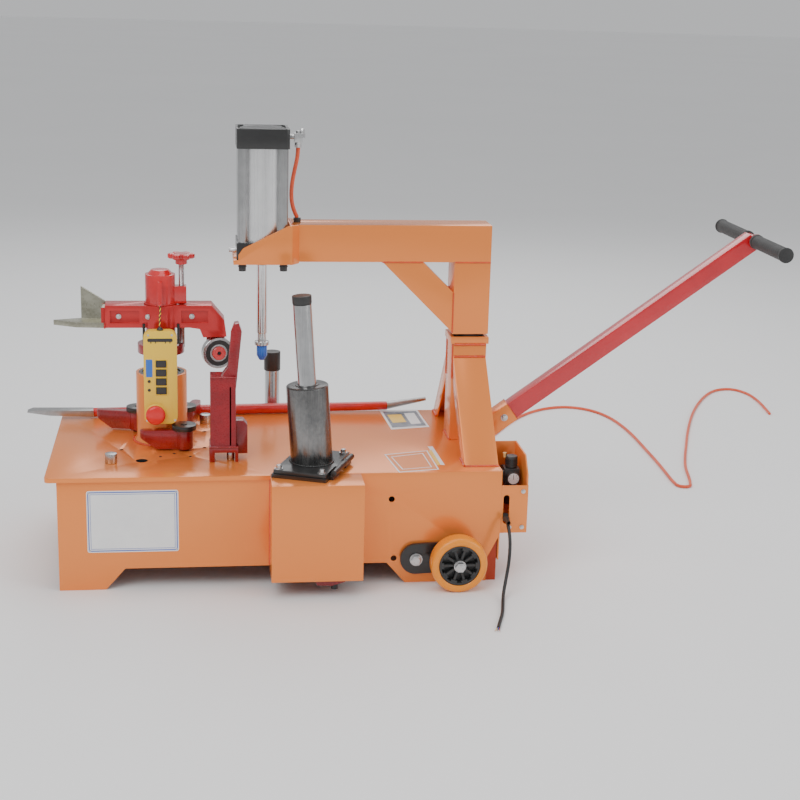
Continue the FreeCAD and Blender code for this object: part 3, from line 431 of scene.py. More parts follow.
def add_prism(bm, outline, low, high, plane="xz", index=0):
    """A flat outline made thick along the third axis, in millimetres."""
    place = {"xz": lambda a, b, c: at(a, c, b), "yz": lambda a, b, c: at(c, a, b), "xy": lambda a, b,
             c: at(a, b, c)}[plane]
    ends = [[bm.verts.new(place(a, b, c)) for a, b in outline] for c in (low, high)]
    faces = [bm.faces.new(ends[0]), bm.faces.new(list(reversed(ends[1])))]
    count = len(outline)
    for k in range(count):
        n = (k + 1) % count
        faces.append(bm.faces.new((ends[0][n], ends[0][k], ends[1][k], ends[1][n])))
    for face in faces:
        face.material_index = index
    return faces


def add_tube(bm, points, radius, steps=12, index=0):
    """A round tube along points in metres."""
    rings, previous = [], None
    for k, p in enumerate(points):
        ahead = (points[min(k + 1, len(points) - 1)] - points[max(k - 1, 0)]).normalized()
        if previous is None:
            side = ahead.orthogonal().normalized()
        else:
            side = (previous - ahead * previous.dot(ahead)).normalized()
        previous = side
        across = ahead.cross(side)
        rings.append([bm.verts.new(p + (side * math.cos(a) + across * math.sin(a)) * radius)
                      for a in (2 * math.pi * j / steps for j in range(steps))])
    faces = [bm.faces.new(list(reversed(rings[0]))), bm.faces.new(rings[-1])]
    for a, b in zip(rings, rings[1:]):
        for j in range(steps):
            n = (j + 1) % steps
            faces.append(bm.faces.new((a[j], a[n], b[n], b[j])))
    for face in faces:
        face.material_index = index
    return faces


def turn(bm, verts, centre, axis, degrees):
    """Turns points about an axis through a centre in millimetres."""
    bmesh.ops.rotate(bm, verts=verts, cent=at(*centre), matrix=Matrix.Rotation(math.radians(degrees), 3,
                                                                               axis))


def add_rim(bm, x0, x1, y0, y1, z0, z1, width, index=0):
    """Four strips round the edge of an upright rectangle."""
    inner_low, inner_high = z0 + width, z1 - width
    add_box(bm, x0, x1, y0, y1, z0, inner_low, index)
    add_box(bm, x0, x1, y0, y1, inner_high, z1, index)
    add_box(bm, x0, x0 + width, y0, y1, inner_low, inner_high, index)
    add_box(bm, x1 - width, x1, y0, y1, inner_low, inner_high, index)


def rounded_outline(x0, x1, z0, z1, r, steps=6):
    """A rectangle with round corners, as (x, z) points."""
    out = []
    for cx, cz, start in ((x1 - r, z1 - r, 0), (x0 + r, z1 - r, 90), (x0 + r, z0 + r, 180),
                          (x1 - r, z0 + r, 270)):
        out += [(cx + r * math.cos(math.radians(start + 90 * k / steps)),
                 cz + r * math.sin(math.radians(start + 90 * k / steps)))
                for k in range(steps + 1)]
    return out


# ---------------------------------------------------------------- geometry nodes

def geometry_tree(name, inputs):
    """An empty node tree with named inputs; returns it with its input and output nodes."""
    tree = bpy.data.node_groups.new(name, "GeometryNodeTree")
    tree.interface.new_socket(name="Geometry", in_out="INPUT", socket_type="NodeSocketGeometry")
    for label, kind, value in inputs:
        socket = tree.interface.new_socket(name=label, in_out="INPUT", socket_type=kind)
        if value is not None:
            socket.default_value = value
    tree.interface.new_socket(name="Geometry", in_out="OUTPUT", socket_type="NodeSocketGeometry")
    return tree, tree.nodes.new("NodeGroupInput"), tree.nodes.new("NodeGroupOutput")


def painted_result(tree, made, finish_socket, out):
    """Makes instances real, gives them their finish and sends them to the tree's output."""
    real, paint = tree.nodes.new("GeometryNodeRealizeInstances"), tree.nodes.new("GeometryNodeSetMaterial")
    tree.links.new(made, real.inputs[0])
    tree.links.new(real.outputs[0], paint.inputs["Geometry"])
    tree.links.new(finish_socket, paint.inputs["Material"])
    tree.links.new(paint.outputs[0], out.inputs[0])


def bolt_tree():
    """Hexagon heads on washers, one at each point, turned by the point's "turn" attribute."""
    if "hexagon_bolts" in bpy.data.node_groups:
        return bpy.data.node_groups["hexagon_bolts"]
    F = "NodeSocketFloat"
    tree, inp, out = geometry_tree("hexagon_bolts", [("Head radius", F, 0.01), ("Head height", F, 0.008),
                                                     ("Washer radius", F, 0.014),
                                                     ("Washer thickness", F, 0.002),
                                                     ("Finish", "NodeSocketMaterial", None)])
    new, link = tree.nodes.new, tree.links.new
    washer, head, crown = (new("GeometryNodeMeshCylinder"), new("GeometryNodeMeshCylinder"),
                           new("GeometryNodeMeshCone"))
    washer.inputs["Vertices"].default_value, head.inputs["Vertices"].default_value = 24, 6
    crown.inputs["Vertices"].default_value = 18
    link(inp.outputs["Washer radius"], washer.inputs["Radius"])
    link(inp.outputs["Washer thickness"], washer.inputs["Depth"])
    link(inp.outputs["Head radius"], head.inputs["Radius"])
    link(inp.outputs["Head height"], head.inputs["Depth"])

    def maths(operation, a, b):
        node = new("ShaderNodeMath")
        node.operation = operation
        for socket, value in zip(node.inputs, (a, b)):
            if isinstance(value, float):
                socket.default_value = value
            else:
                link(value, socket)
        return node.outputs[0]

    link(maths("MULTIPLY", inp.outputs["Head radius"], 0.86), crown.inputs["Radius Bottom"])
    link(maths("MULTIPLY", inp.outputs["Head radius"], 0.66), crown.inputs["Radius Top"])
    link(maths("MULTIPLY", inp.outputs["Head height"], 0.14), crown.inputs["Depth"])
    join = new("GeometryNodeJoinGeometry")
    heights = {washer: maths("MULTIPLY", inp.outputs["Washer thickness"], 0.5),
               head: maths("ADD", inp.outputs["Washer thickness"],
                           maths("MULTIPLY", inp.outputs["Head height"], 0.5)),
               crown: maths("ADD", inp.outputs["Washer thickness"], inp.outputs["Head height"])}
    for node, height in heights.items():
        lift, move = new("ShaderNodeCombineXYZ"), new("GeometryNodeTransform")
        link(height, lift.inputs["Z"])
        link(lift.outputs[0], move.inputs["Translation"])
        link(node.outputs["Mesh"], move.inputs["Geometry"])
        link(move.outputs[0], join.inputs[0])
    turn_by, place = new("GeometryNodeInputNamedAttribute"), new("GeometryNodeInstanceOnPoints")
    turn_by.data_type = "FLOAT_VECTOR"
    turn_by.inputs["Name"].default_value = "turn"
    euler = new("FunctionNodeEulerToRotation")
    link(turn_by.outputs["Attribute"], euler.inputs[0])
    link(euler.outputs[0], place.inputs["Rotation"])
    link(inp.outputs["Geometry"], place.inputs["Points"])
    link(join.outputs[0], place.inputs["Instance"])
    painted_result(tree, place.outputs[0], inp.outputs["Finish"], out)
    return tree


def bead_tree():
    """A rippled weld bead along each polyline."""
    if "weld_beads" in bpy.data.node_groups:
        return bpy.data.node_groups["weld_beads"]
    F = "NodeSocketFloat"
    tree, inp, out = geometry_tree("weld_beads", [("Bead radius", F, 0.003), ("Ripple", F, 0.16),
                                                  ("Step", F, 0.0016), ("Seed", "NodeSocketInt", 4),
                                                  ("Finish", "NodeSocketMaterial", None)])
    new, link = tree.nodes.new, tree.links.new
    curve, dots, size = (new("GeometryNodeMeshToCurve"), new("GeometryNodeResampleCurve"),
                         new("GeometryNodeSetCurveRadius"))
    dots.mode = "LENGTH"
    link(inp.outputs["Geometry"], curve.inputs[0])
    link(curve.outputs[0], dots.inputs["Curve"])
    link(inp.outputs["Step"], dots.inputs["Length"])
    link(dots.outputs[0], size.inputs["Curve"])
    vary = new("FunctionNodeRandomValue")
    vary.data_type = "FLOAT"
    vary.inputs[2].default_value, vary.inputs[3].default_value = 0.82, 1.12
    index, wave, swing, total, radius = (new("GeometryNodeInputIndex"), new("ShaderNodeMath"),
                                         new("ShaderNodeMath"), new("ShaderNodeMath"), new("ShaderNodeMath"))
    quarter = new("ShaderNodeMath")
    quarter.operation = "MULTIPLY"
    quarter.inputs[1].default_value = math.pi / 2
    wave.operation, swing.operation, total.operation, radius.operation = "SINE", "MULTIPLY", "ADD", "MULTIPLY"
    link(index.outputs[0], quarter.inputs[0])
    link(quarter.outputs[0], wave.inputs[0])
    link(wave.outputs[0], swing.inputs[0])
    link(inp.outputs["Ripple"], swing.inputs[1])
    link(swing.outputs[0], total.inputs[0])
    link(vary.outputs[1], total.inputs[1])
    link(inp.outputs["Seed"], vary.inputs["Seed"])
    link(total.outputs[0], radius.inputs[0])
    link(inp.outputs["Bead radius"], radius.inputs[1])
    link(radius.outputs[0], size.inputs["Radius"])
    ring, tube = new("GeometryNodeCurvePrimitiveCircle"), new("GeometryNodeCurveToMesh")
    ring.inputs["Resolution"].default_value, ring.inputs["Radius"].default_value = 8, 1.0
    tube.inputs["Fill Caps"].default_value = True
    link(size.outputs[0], tube.inputs["Curve"])
    link(ring.outputs["Curve"], tube.inputs["Profile Curve"])
    if "Scale" in tube.inputs:
        link(radius.outputs[0], tube.inputs["Scale"])
    painted_result(tree, tube.outputs[0], inp.outputs["Finish"], out)
    return tree


def rib_tree():
    """Flat ribs set evenly round an axis."""
    if "ring_of_ribs" in bpy.data.node_groups:
        return bpy.data.node_groups["ring_of_ribs"]
    F = "NodeSocketFloat"
    tree, inp, out = geometry_tree("ring_of_ribs", [("Count", "NodeSocketInt", 10),
                                                    ("Middle radius", F, 0.03), ("Length", F, 0.03),
                                                    ("Width", F, 0.006), ("Depth", F, 0.03),
                                                    ("Finish", "NodeSocketMaterial", None)])
    new, link = tree.nodes.new, tree.links.new
    circle, cube, size = (new("GeometryNodeMeshCircle"), new("GeometryNodeMeshCube"),
                          new("ShaderNodeCombineXYZ"))
    circle.fill_type = "NONE"
    link(inp.outputs["Count"], circle.inputs["Vertices"])
    link(inp.outputs["Middle radius"], circle.inputs["Radius"])
    for label, socket in (("Length", "X"), ("Width", "Y"), ("Depth", "Z")):
        link(inp.outputs[label], size.inputs[socket])
    link(size.outputs[0], cube.inputs["Size"])
    where, face, place = (new("GeometryNodeInputPosition"), new("FunctionNodeAlignRotationToVector"),
                          new("GeometryNodeInstanceOnPoints"))
    face.axis = "X"
    link(where.outputs[0], face.inputs["Vector"])
    link(face.outputs[0], place.inputs["Rotation"])
    link(circle.outputs[0], place.inputs["Points"])
    link(cube.outputs["Mesh"], place.inputs["Instance"])
    painted_result(tree, place.outputs[0], inp.outputs["Finish"], out)
    return tree


def grown(name, start, tree, values, body, placed=None, smooth=False):
    """Runs a node tree on a starting mesh and keeps the result as a plain piece."""
    seed = bpy.data.objects.new(name + "_seed", start)
    bpy.context.scene.collection.objects.link(seed)
    modifier = seed.modifiers.new("grow", "NODES")
    modifier.node_group = tree
    for item in tree.interface.items_tree:
        if item.item_type == "SOCKET" and item.in_out == "INPUT" and item.name in values:
            modifier[item.identifier] = values[item.name]
    bpy.context.view_layer.update()
    shown = seed.evaluated_get(bpy.context.evaluated_depsgraph_get())
    mesh = bpy.data.meshes.new_from_object(shown)
    mesh.name = name
    if placed:
        mesh.transform(placed)
    for polygon in mesh.polygons:
        polygon.use_smooth = smooth
    bpy.data.objects.remove(seed)
    piece = bpy.data.objects.new(name, mesh)
    bpy.context.scene.collection.objects.link(piece)
    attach(piece, body)
    return piece


def bolts(name, places, head, height, washer, body, look="zinc"):
    """Bolt heads at (point, direction) places; sizes in millimetres."""
    start = bpy.data.meshes.new(name + "_points")
    start.from_pydata([at(*p) for p, _ in places], [], [])
    turns = start.attributes.new("turn", "FLOAT_VECTOR", "POINT")
    for k, (_, way) in enumerate(places):
        turns.data[k].vector = Vector(way).to_track_quat("Z", "Y").to_euler()
    return grown(name, start, bolt_tree(), {"Head radius": head / 2000, "Head height": height / 1000,
                                            "Washer radius": washer / 2000, "Washer thickness": 0.002,
                                            "Finish": finish(look)}, body)


def welds(name, lines, body, look="weld_paint", radius=None):
    """Weld beads along lines of points in millimetres."""
    verts, edges = [], []
    for line in lines:
        first = len(verts)
        verts += [at(*p) for p in line]
        edges += [(first + k, first + k + 1) for k in range(len(line) - 1)]
    start = bpy.data.meshes.new(name + "_lines")
    start.from_pydata(verts, edges, [])
    return grown(name, start, bead_tree(), {"Bead radius": radius / 1000 if radius else sizes().bead,
                                            "Ripple": 0.14, "Step": 0.0016, "Seed": 4,
                                            "Finish": finish(look)}, body, smooth=True)


def circle_line(centre, radius, steps=36):
    """A level circle as a closed line of points in millimetres."""
    x, y, z = centre
    angles = [2 * math.pi * k / steps for k in range(steps + 1)]
    return [(x + radius * math.cos(a), y + radius * math.sin(a), z) for a in angles]


# ---------------------------------------------------------------- camera, floor and light

class TC_OT_stage(bpy.types.Operator):
    """Set up the camera, the pale floor and the soft studio light"""
    bl_idname = "tire_changer.stage"
    bl_label = "Camera, floor and light"

    def execute(self, context):
        scene = context.scene
        data = bpy.data.cameras.new("studio_camera")
        data.sensor_width, data.lens = 36.0, 69.05
        data.clip_end = 200.0
        camera = bpy.data.objects.new("studio_camera", data)
        scene.collection.objects.link(camera)
        yaw, pitch, roll = 0.137, 0.263, 0.027
        facing = Matrix.Rotation(-yaw, 4, "Z") @ Matrix.Rotation(math.pi / 2 - pitch, 4,
                                                                 "X") @ Matrix.Rotation(roll, 4, "Z")
        camera.matrix_world = Matrix.Translation(at(353.8, -3785.3, 1532.5)) @ facing
        scene.camera = camera
        bm = bmesh.new()
        bmesh.ops.create_circle(bm, cap_ends=True, segments=96, radius=60.0)
        mesh = bpy.data.meshes.new("studio_floor")
        bm.to_mesh(mesh)
        bm.free()
        mesh.materials.append(finish("pale_floor"))
        floor = bpy.data.objects.new("studio_floor", mesh)
        floor.location.z = CAD_BOX[0][2] - 0.0002
        scene.collection.objects.link(floor)
        lights = (("key_softbox", (-2.6, -3.2, 4.2), 3.4, 240.0),
                  ("fill_softbox", (3.6, -2.6, 2.8), 3.0, 110.0),
                  ("back_softbox", (0.4, 3.6, 3.6), 3.4, 130.0), ("top_softbox", (0.2, 0.2, 4.6), 3.2, 90.0))
        for name, place, width, power in lights:
            lamp = bpy.data.lights.new(name, "AREA")
            lamp.shape, lamp.size, lamp.energy = "SQUARE", width, power * SOFTBOX_SHARE
            holder = bpy.data.objects.new(name, lamp)
            scene.collection.objects.link(holder)
            aim = Vector((0, 0, 0.45)) - Vector(place)
            holder.matrix_world = Matrix.Translation(place) @ aim.to_track_quat("-Z",
                                                                                "Y").to_matrix().to_4x4()
        world = bpy.data.worlds.new("studio_air")
        world.use_nodes = True
        world.node_tree.nodes["Background"].inputs["Color"].default_value = (0.97, 0.98, 1.0, 1)
        world.node_tree.nodes["Background"].inputs["Strength"].default_value = 0.6
        scene.world = world
        return {"FINISHED"}


# ---------------------------------------------------------------- cords

POWER_ROUTE = [(1168, -8.8, 176), (1168, -42, 167), (1168, -72, 134), (1164, -86, 84), (1155, -98, 40),
               (1143, -128, 10), (1132, -182, 4.5), (1120, -238, 4.5), (1104, -286, 4.6), (1092, -326, 4.5)]
PRESS_ROUTE = [(630, 340, 1111.3), (629, 338, 1088), (620, 334, 1050), (613, 331, 1012), (612, 331, 976),
               (619, 335, 944), (628.6, 339.6, 925.5)]
LANYARD_ROUTE = [(261, 278.5, 693.6), (262.5, 272.5, 679), (259.5, 256.5, 663), (261, 241, 641)]
HOSE_ROUTE = [(1190, 187.8, 262), (1190, 249, 254), (1191, 337, 200), (1193, 427, 112), (1196, 527, 40),
              (1200, 642, 11), (1208, 790, 5), (1226, 920, 5), (1258, 1045, 5), (1304, 1165, 5),
              (1362, 1280, 5), (1424, 1392, 5), (1486, 1502, 5), (1556, 1604, 5), (1646, 1688, 5),
              (1748, 1722, 5), (1834, 1672, 5), (1880, 1570, 5), (1898, 1444, 5), (1903, 1306, 5),
              (1900, 1166, 5), (1898, 1030, 5), (1893, 910, 5), (1888, 830, 5), (1888, 783, 5),
              (1889, 757, 5), (1900, 744, 5), (1917, 741, 5), (1931, 750, 5), (1938, 774, 5),
              (1951, 822, 5), (1976, 950, 5), (2017, 1078, 5), (2062, 1206, 5), (2108, 1338, 5),
              (2158, 1470, 5), (2212, 1602, 5), (2272, 1728, 5), (2340, 1850, 5), (2414, 1946, 5),
              (2490, 1966, 5), (2530, 1900, 5), (2536, 1800, 5), (2526, 1690, 5), (2512, 1590, 5)]


def cord_curve(name, route, radius):
    """A round smooth cord along the route; route and radius in millimetres."""
    curve = bpy.data.curves.new(name, "CURVE")
    curve.dimensions = "3D"
    spline = curve.splines.new("NURBS")
    spline.points.add(len(route) - 1)
    for point, place in zip(spline.points, route):
        point.co = (*at(*place), 1)
    spline.order_u = 3
    spline.use_endpoint_u = True
    spline.resolution_u = 10
    curve.bevel_depth = radius / 1000
    curve.bevel_resolution = 6
    curve.use_fill_caps = True
    piece = bpy.data.objects.new(name, curve)
    bpy.context.scene.collection.objects.link(piece)
    return piece


def cord_line(route):
    """Points along the cord's own smooth line, in metres."""
    curve = cord_curve("line_to_follow", route, 0)
    curve.data.use_fill_caps = False
    bpy.context.view_layer.update()
    mesh = bpy.data.meshes.new_from_object(curve.evaluated_get(bpy.context.evaluated_depsgraph_get()))
    points = [v.co.copy() for v in mesh.vertices]
    bpy.data.objects.remove(curve)
    return points


def line_length(points):
    """The length of a line of points."""
    return sum((b - a).length for a, b in zip(points, points[1:]))


class TC_OT_cords(bpy.types.Operator):
    """Lay the power cord, the air hose, the press hose and the remote's lanyard"""
    bl_idname = "tire_changer.cords"
    bl_label = "Cords and hoses"

    def execute(self, context):
        for name, node, route, radius, look, body, end, where in (
                ("power_lead", "power_cord", POWER_ROUTE, 4.5, "cord_black", "base", "bare", "black_cord"),
                ("air_line", "air_hose", HOSE_ROUTE, 5.0, "hose_orange", "base", "bare", "orange_hose"),
                ("press_air_line", "press_hose", PRESS_ROUTE, 5.5, "hose_orange", "press_arm", "object",
                 "orange_hose")):
            length = line_length(cord_line(route))
            piece = cord_curve(name, route, radius)
            piece.data.materials.append(finish(look))
            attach(piece, body)
            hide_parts(node)
        line = cord_line(LANYARD_ROUTE)
        bm = bmesh.new()
        travelled = [0.0]
        for a, b in zip(line, line[1:]):
            travelled.append(travelled[-1] + (b - a).length)
        for strand in range(2):
            path = []
            for k, p in enumerate(line):
                ahead = (line[min(k + 1, len(line) - 1)] - line[max(k - 1, 0)]).normalized()
                side = (X - ahead * X.dot(ahead)).normalized()
                across = ahead.cross(side)
                a = travelled[k] / 0.014 * 2 * math.pi + strand * math.pi
                path.append(p + (side * math.cos(a) + across * math.sin(a)) * 0.00125)
            add_tube(bm, path, 0.00125, 8, strand)
        piece = keep(bm, "twisted_lanyard", "remote", ["cord_black", "yellow_plastic"],
                     ["remote_lanyard"], sharp=60)
        bm = bmesh.new()
        end, before = at(*POWER_ROUTE[-1]), at(*POWER_ROUTE[-2])
        out = (end - before).normalized()
        for k, (dx, dz, look) in enumerate(((-1.6, 0.3, 0), (0, 1.2, 1), (1.7, -0.4, 2))):
            side = out.cross(Z).normalized()
            start = end - out * 0.004 + side * dx / 1000 + Z * (dz / 1000)
            bend = [start, start + out * 0.008 + side * dx / 1500,
                    start + out * 0.016 + side * dx / 500 - Z * 0.0006]
            add_tube(bm, bend, 0.0011, 8, look)
            add_tube(bm, [bend[-1] - out * 0.002, bend[-1] + out * 0.007 + side * dx / 900], 0.0005, 6, 3)
        keep(bm, "lead_wires", "base", ["handle_paint", "blue_plastic", "sticker_yellow", "copper"])
        return {"FINISHED"}


# ---------------------------------------------------------------- cabinet and table

def recolour(node, look):
    """Gives a carried-over node its finish; its shape stays as it is."""
    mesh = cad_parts[node].data
    mesh.materials.clear()
    mesh.materials.append(finish(look))


class TC_OT_cabinet(bpy.types.Operator):
    """Build the sheet steel cabinet, its table, the lifter box, the rear tray and what they hold"""
    bl_idname = "tire_changer.cabinet"
    bl_label = "Cabinet and table"

    def execute(self, context):
        edge = sizes().edge * 1000
        refined("cabinet_skirt", "base", "orange_paint", edge)
        refined("table_plate", "base", "orange_paint", edge * 1.2)
        refined("front_box", "base", "orange_paint", edge * 1.5)
        refined("rear_tray", "base", "orange_paint", edge)
        refined("rim_pins", "base", "turned_steel", 2.6)
        # The inner frame gets the cabinet orange darkened as painted shade.
        for node, look in (("inner_frame", "orange_painted_shade"), ("gearbox_case", "cast_grey"),
                           ("drive_motor", "cast_grey"), ("power_pack", "cast_grey")):
            recolour(node, look)

        def fitting_look(centre, face):
            if centre.x > 1100:
                return 0
            if 640 < centre.x < 740:
                return 0 if centre.z < 25 else 1
            return 2

        refined("base_fittings", "base", ["black_plastic", "claw_paint", "zinc"], 1.2, fitting_look)
        seams = [[(x, -1.0, 300), (x, -1.0, 60)] for x in (542, 779.2)]
        welds("box_welds", seams, "base", radius=2.2)
        return {"FINISHED"}


class TC_OT_labels(bpy.types.Operator):
    """Lay the blank plaque and the blank stickers on the cabinet"""
    bl_idname = "tire_changer.labels"
    bl_label = "Plaque and stickers"

    def execute(self, context):
        bm = bmesh.new()
        add_prism(bm, rounded_outline(74, 307, 103, 270, 6), -0.9, 0.0, "xz", 0)
        for inset, width in ((3, 2.4), (9, 0.9)):
            add_rim(bm, 74 + inset, 307 - inset, -1.25, -0.8, 103 + inset, 270 - inset, width, 1)
        for x in (80, 301):
            for z in (109, 264):
                add_lathe(bm, [(0, 0), (2.6, 0), (2.6, 0.9), (1.6, 1.5), (0, 1.6)], (x, -0.8, z),
                          TOWARDS_FRONT, 16, 2)
        keep(bm, "front_plaque", "base", ["sticker_white", "sticker_blue", "zinc"])
        top = TABLE_TOP
        patches = (([(908, 402), (1022, 424), (1012, 612), (898, 606)], 0, 0.3),
                   ([(914, 420), (1015, 438), (1007, 596), (906, 590)], 1, 0.45),
                   ([(921, 470), (962, 477), (957, 560), (915, 556)], 2, 0.6),
                   ([(973, 455), (1003, 460), (998, 575), (967, 570)], 0, 0.6),
                   ([(859, 162), (878, 2), (988, 22), (982, 193)], 0, 0.3),
                   ([(863, 157), (882, 8), (984, 27), (978, 187)], 3, 0.45),
                   ([(874, 140), (890, 26), (972, 42), (966, 168)], 0, 0.55),
                   ([(877, 136), (893, 30), (969, 45), (963, 163)], 3, 0.65),
                   ([(984, 190), (989, 60), (998, 62), (994, 196)], 2, 0.35),
                   ([(988, 231), (997, 62), (1009, 60), (1002, 230)], 0, 0.3))
        bm = bmesh.new()
        for corners, index, height in patches:
            add_prism(bm, corners, top - 0.1, top + height, "xy", index)
        looks = ["sticker_white", "sticker_grey", "sticker_yellow", "orange_paint"]
        keep(bm, "table_stickers", "base", looks)
        # Painted shade: near-black shells and bottoms inside the table's holes, and two near-black discs for
        # small holes in the table top.
        bm = bmesh.new()
        for x, y, r in ((211, 137, 16), (153, 239, 6), (377, 403, 6), (376, 248, 6), (338, 170, 5)):
            add_lathe(bm, [(r - 0.3, 0), (r - 0.3, 11.2), (r - 1.4, 11.2), (r - 1.4, 0)], (x, y, 295.4), Z,
                      32, 0)
            add_lathe(bm, [(0, 0), (r - 0.6, 0), (r - 0.6, 1.0), (0, 1.0)], (x, y, 295.4), Z, 32, 0)
        for x, y in ((259, 170), (295, 196)):
            add_lathe(bm, [(0, 0), (4.2, 0), (4.2, 0.5), (0, 0.5)], (x, y, 306.9), Z, 20, 0)
        keep(bm, "hole_painted_shade", "base", "dark_inside")
        return {"FINISHED"}


# ---------------------------------------------------------------- post, tool head and claws

class TC_OT_post(bpy.types.Operator):
    """Build the centre post, its bearings and the turning spindle"""
    bl_idname = "tire_changer.post"
    bl_label = "Post and spindle"

    def execute(self, context):
        refined("post_tube", "base", "orange_paint", 2.2)
        refined("bearings_and_bushes", "base", "dark_inside", 1.0)
        turned_piece("post_seal", "base", "black_plastic",
                     [(60.8, 0), (60.8, 11.5), (52, 11.5), (52, 8), (45, 8), (45, 0)], (*POST, 488), Z, 64)

        def spindle_look(centre, face):
            return 0 if 554 < centre.z < 581 else 1

        refined("spindle_shaft", "spindle", ["claw_paint", "turned_steel"], 2.4, spindle_look)
        welds("post_welds", [circle_line((*POST, 308.5), 77.5)], "base")
        return {"FINISHED"}


class TC_OT_tool_arm(bpy.types.Operator):
    """Build the hub, the tool beam, the mount shoe, the height screw and the roller"""
    bl_idname = "tire_changer.tool_arm"
    bl_label = "Tool head"

    def execute(self, context):
        refined("tool_hub", "tool_arm", "bright_red_paint", 2.2)
        refined("tool_beam", "tool_arm", "red_paint", 2.6)

        def shoe_look(centre, face):
            return 1 if centre.x > 104 and face.normal.y < -0.3 else 0

        refined("mount_shoe", "tool_arm", ["shoe_steel", "red_paint"], 1.4, shoe_look)
        bm = bmesh.new()
        add_lathe(bm, [(31, 0), (31, 3), (24, 10), (13, 12), (0, 12.4)], (*POST, 769.6), Z, 48)
        add_lathe(bm, [(0, 0), (10, 0), (10, 2.4), (8.6, 3.2), (0, 3.2)], (*POST, 778.6), Z, 6)
        keep(bm, "hub_crown", "tool_arm", "bright_red_paint")
        bm = bmesh.new()
        for x in (213, 305):
            add_box(bm, x, x + 7, 301, 304, 584, 640)
        soften(bm, 0.8)
        keep(bm, "hub_straps", "tool_arm", "black_paint")
        lines = [circle_line((*POST, 690.5), 41.5), circle_line((*POST, 627), 41.5),
                 [(113, 304.6, 642), (113, 304.6, 628), (113, 372, 628)]]
        welds("hub_welds", lines, "tool_arm", "red_paint", 2.4)
        screws = [(place, TOWARDS_FRONT) for place in ((228, 299.4, 660), (150, 314, 658), (345, 314, 658))]
        bolts("hub_screws", screws, 11, 4, 14, "tool_arm")
        pitch = sizes().thread_pitch * 1000
        bm = bmesh.new()
        low, high = 567.4, 797.5
        count = int((high - low) / pitch)
        profile = [(0, 0)]
        for k in range(count):
            profile += [(6.9, k * pitch + 0.02), (7.9, (k + 0.5) * pitch)]
        profile += [(6.9, high - low), (0, high - low)]
        add_lathe(bm, profile, (*HEIGHT_SCREW, low), Z, 20, 1)
        knob = [(0, 0), (15, 0), (16, 1.2), (16, 12), (20, 15.5), (22, 16.5), (22, 27), (19, 29.6), (0, 30)]
        add_lathe(bm, knob, (*HEIGHT_SCREW, 797), Z, 40, 0)
        for k in range(6):
            a = math.radians(60 * k)
            lobe = (HEIGHT_SCREW[0] + 25.6 * math.cos(a), HEIGHT_SCREW[1] + 25.6 * math.sin(a), 797)
            add_lathe(bm, [(0, 15), (8, 15), (10.6, 17), (11, 19), (11, 25), (10, 27.5), (7, 29), (0, 29.4)],
                      lobe, Z, 24, 0)
        keep(bm, "height_screw_turned", "screw", ["bright_red_paint", "zinc"], ["height_screw"])

        turned = math.radians(14)
        ahead = (math.sin(turned), -math.cos(turned), 0)
        start = (408, 352, 555)
        bm = bmesh.new()
        ring = [(15.2, 13), (24, 13), (24, 13.8), (36, 13.8), (36, 13), (42, 13), (43, 14), (43, 36),
                (42, 37), (36, 37), (35.4, 36), (24.6, 36), (24, 37.2), (15.2, 37.2)]
        add_lathe(bm, ring, start, ahead, 64)
        middle = at(*start)
        for face in bm.faces:
            offset = face.calc_center_median() - middle
            along = offset.dot(Vector(ahead))
            r = (offset - Vector(ahead) * along).length * 1000
            face.material_index = 1 if 24.2 < r < 35.8 else 0
        keep(bm, "roller_bearing", "roller", ["turned_steel", "black_plastic"], ["roller_ring"])
        bm = bmesh.new()
        add_lathe(bm, [(0, 36.2), (14.6, 36.2), (14.6, 38.3), (18, 38.3), (18.8, 39.2), (18.8, 42),
                       (17.4, 43.2), (6, 43.2), (5, 41), (0, 41)],
                  start, ahead, 40, 0)
        # Painted shade: a thin near-black disc stands for the axle's centre hole.
        add_lathe(bm, [(0, 41.1), (4.8, 41.1), (4.8, 41.6), (0, 41.6)], start, ahead, 24, 1)
        add_lathe(bm, [(0, -1.5), (14.8, -1.5), (14.8, 36.4), (0, 36.4)], start, ahead, 40, 2)
        keep(bm, "roller_pin", "tool_arm", ["bright_red_paint", "dark_inside", "turned_steel"],
             ["roller_axle"])
        return {"FINISHED"}


class TC_OT_claws(bpy.types.Operator):
    """Build the three swinging claws with their black caps and pins"""
    bl_idname = "tire_changer.claws"
    bl_label = "Claws"

    def execute(self, context):
        places = {"front": (322, 234, "claw_f"), "left": (193, 425, "claw_l"), "right": (322, 430, "claw_r")}

        def claw_look(centre, face):
            return 1 if centre.z > 364.3 or centre.z < 311.7 else 0

        for name, (x, y, body) in places.items():
            refined("claw_" + name, body, ["claw_paint", "black_paint"], 3.4, claw_look)
            turned_piece(f"claw_{name}_pin_end", body, "black_paint",
                         [(0, 0), (9, 0), (9, 1.4), (7.5, 2.6), (0, 2.8)], (x, y, 377.6), Z, 24)
        return {"FINISHED"}


# ---------------------------------------------------------------- column, press arm and cylinder

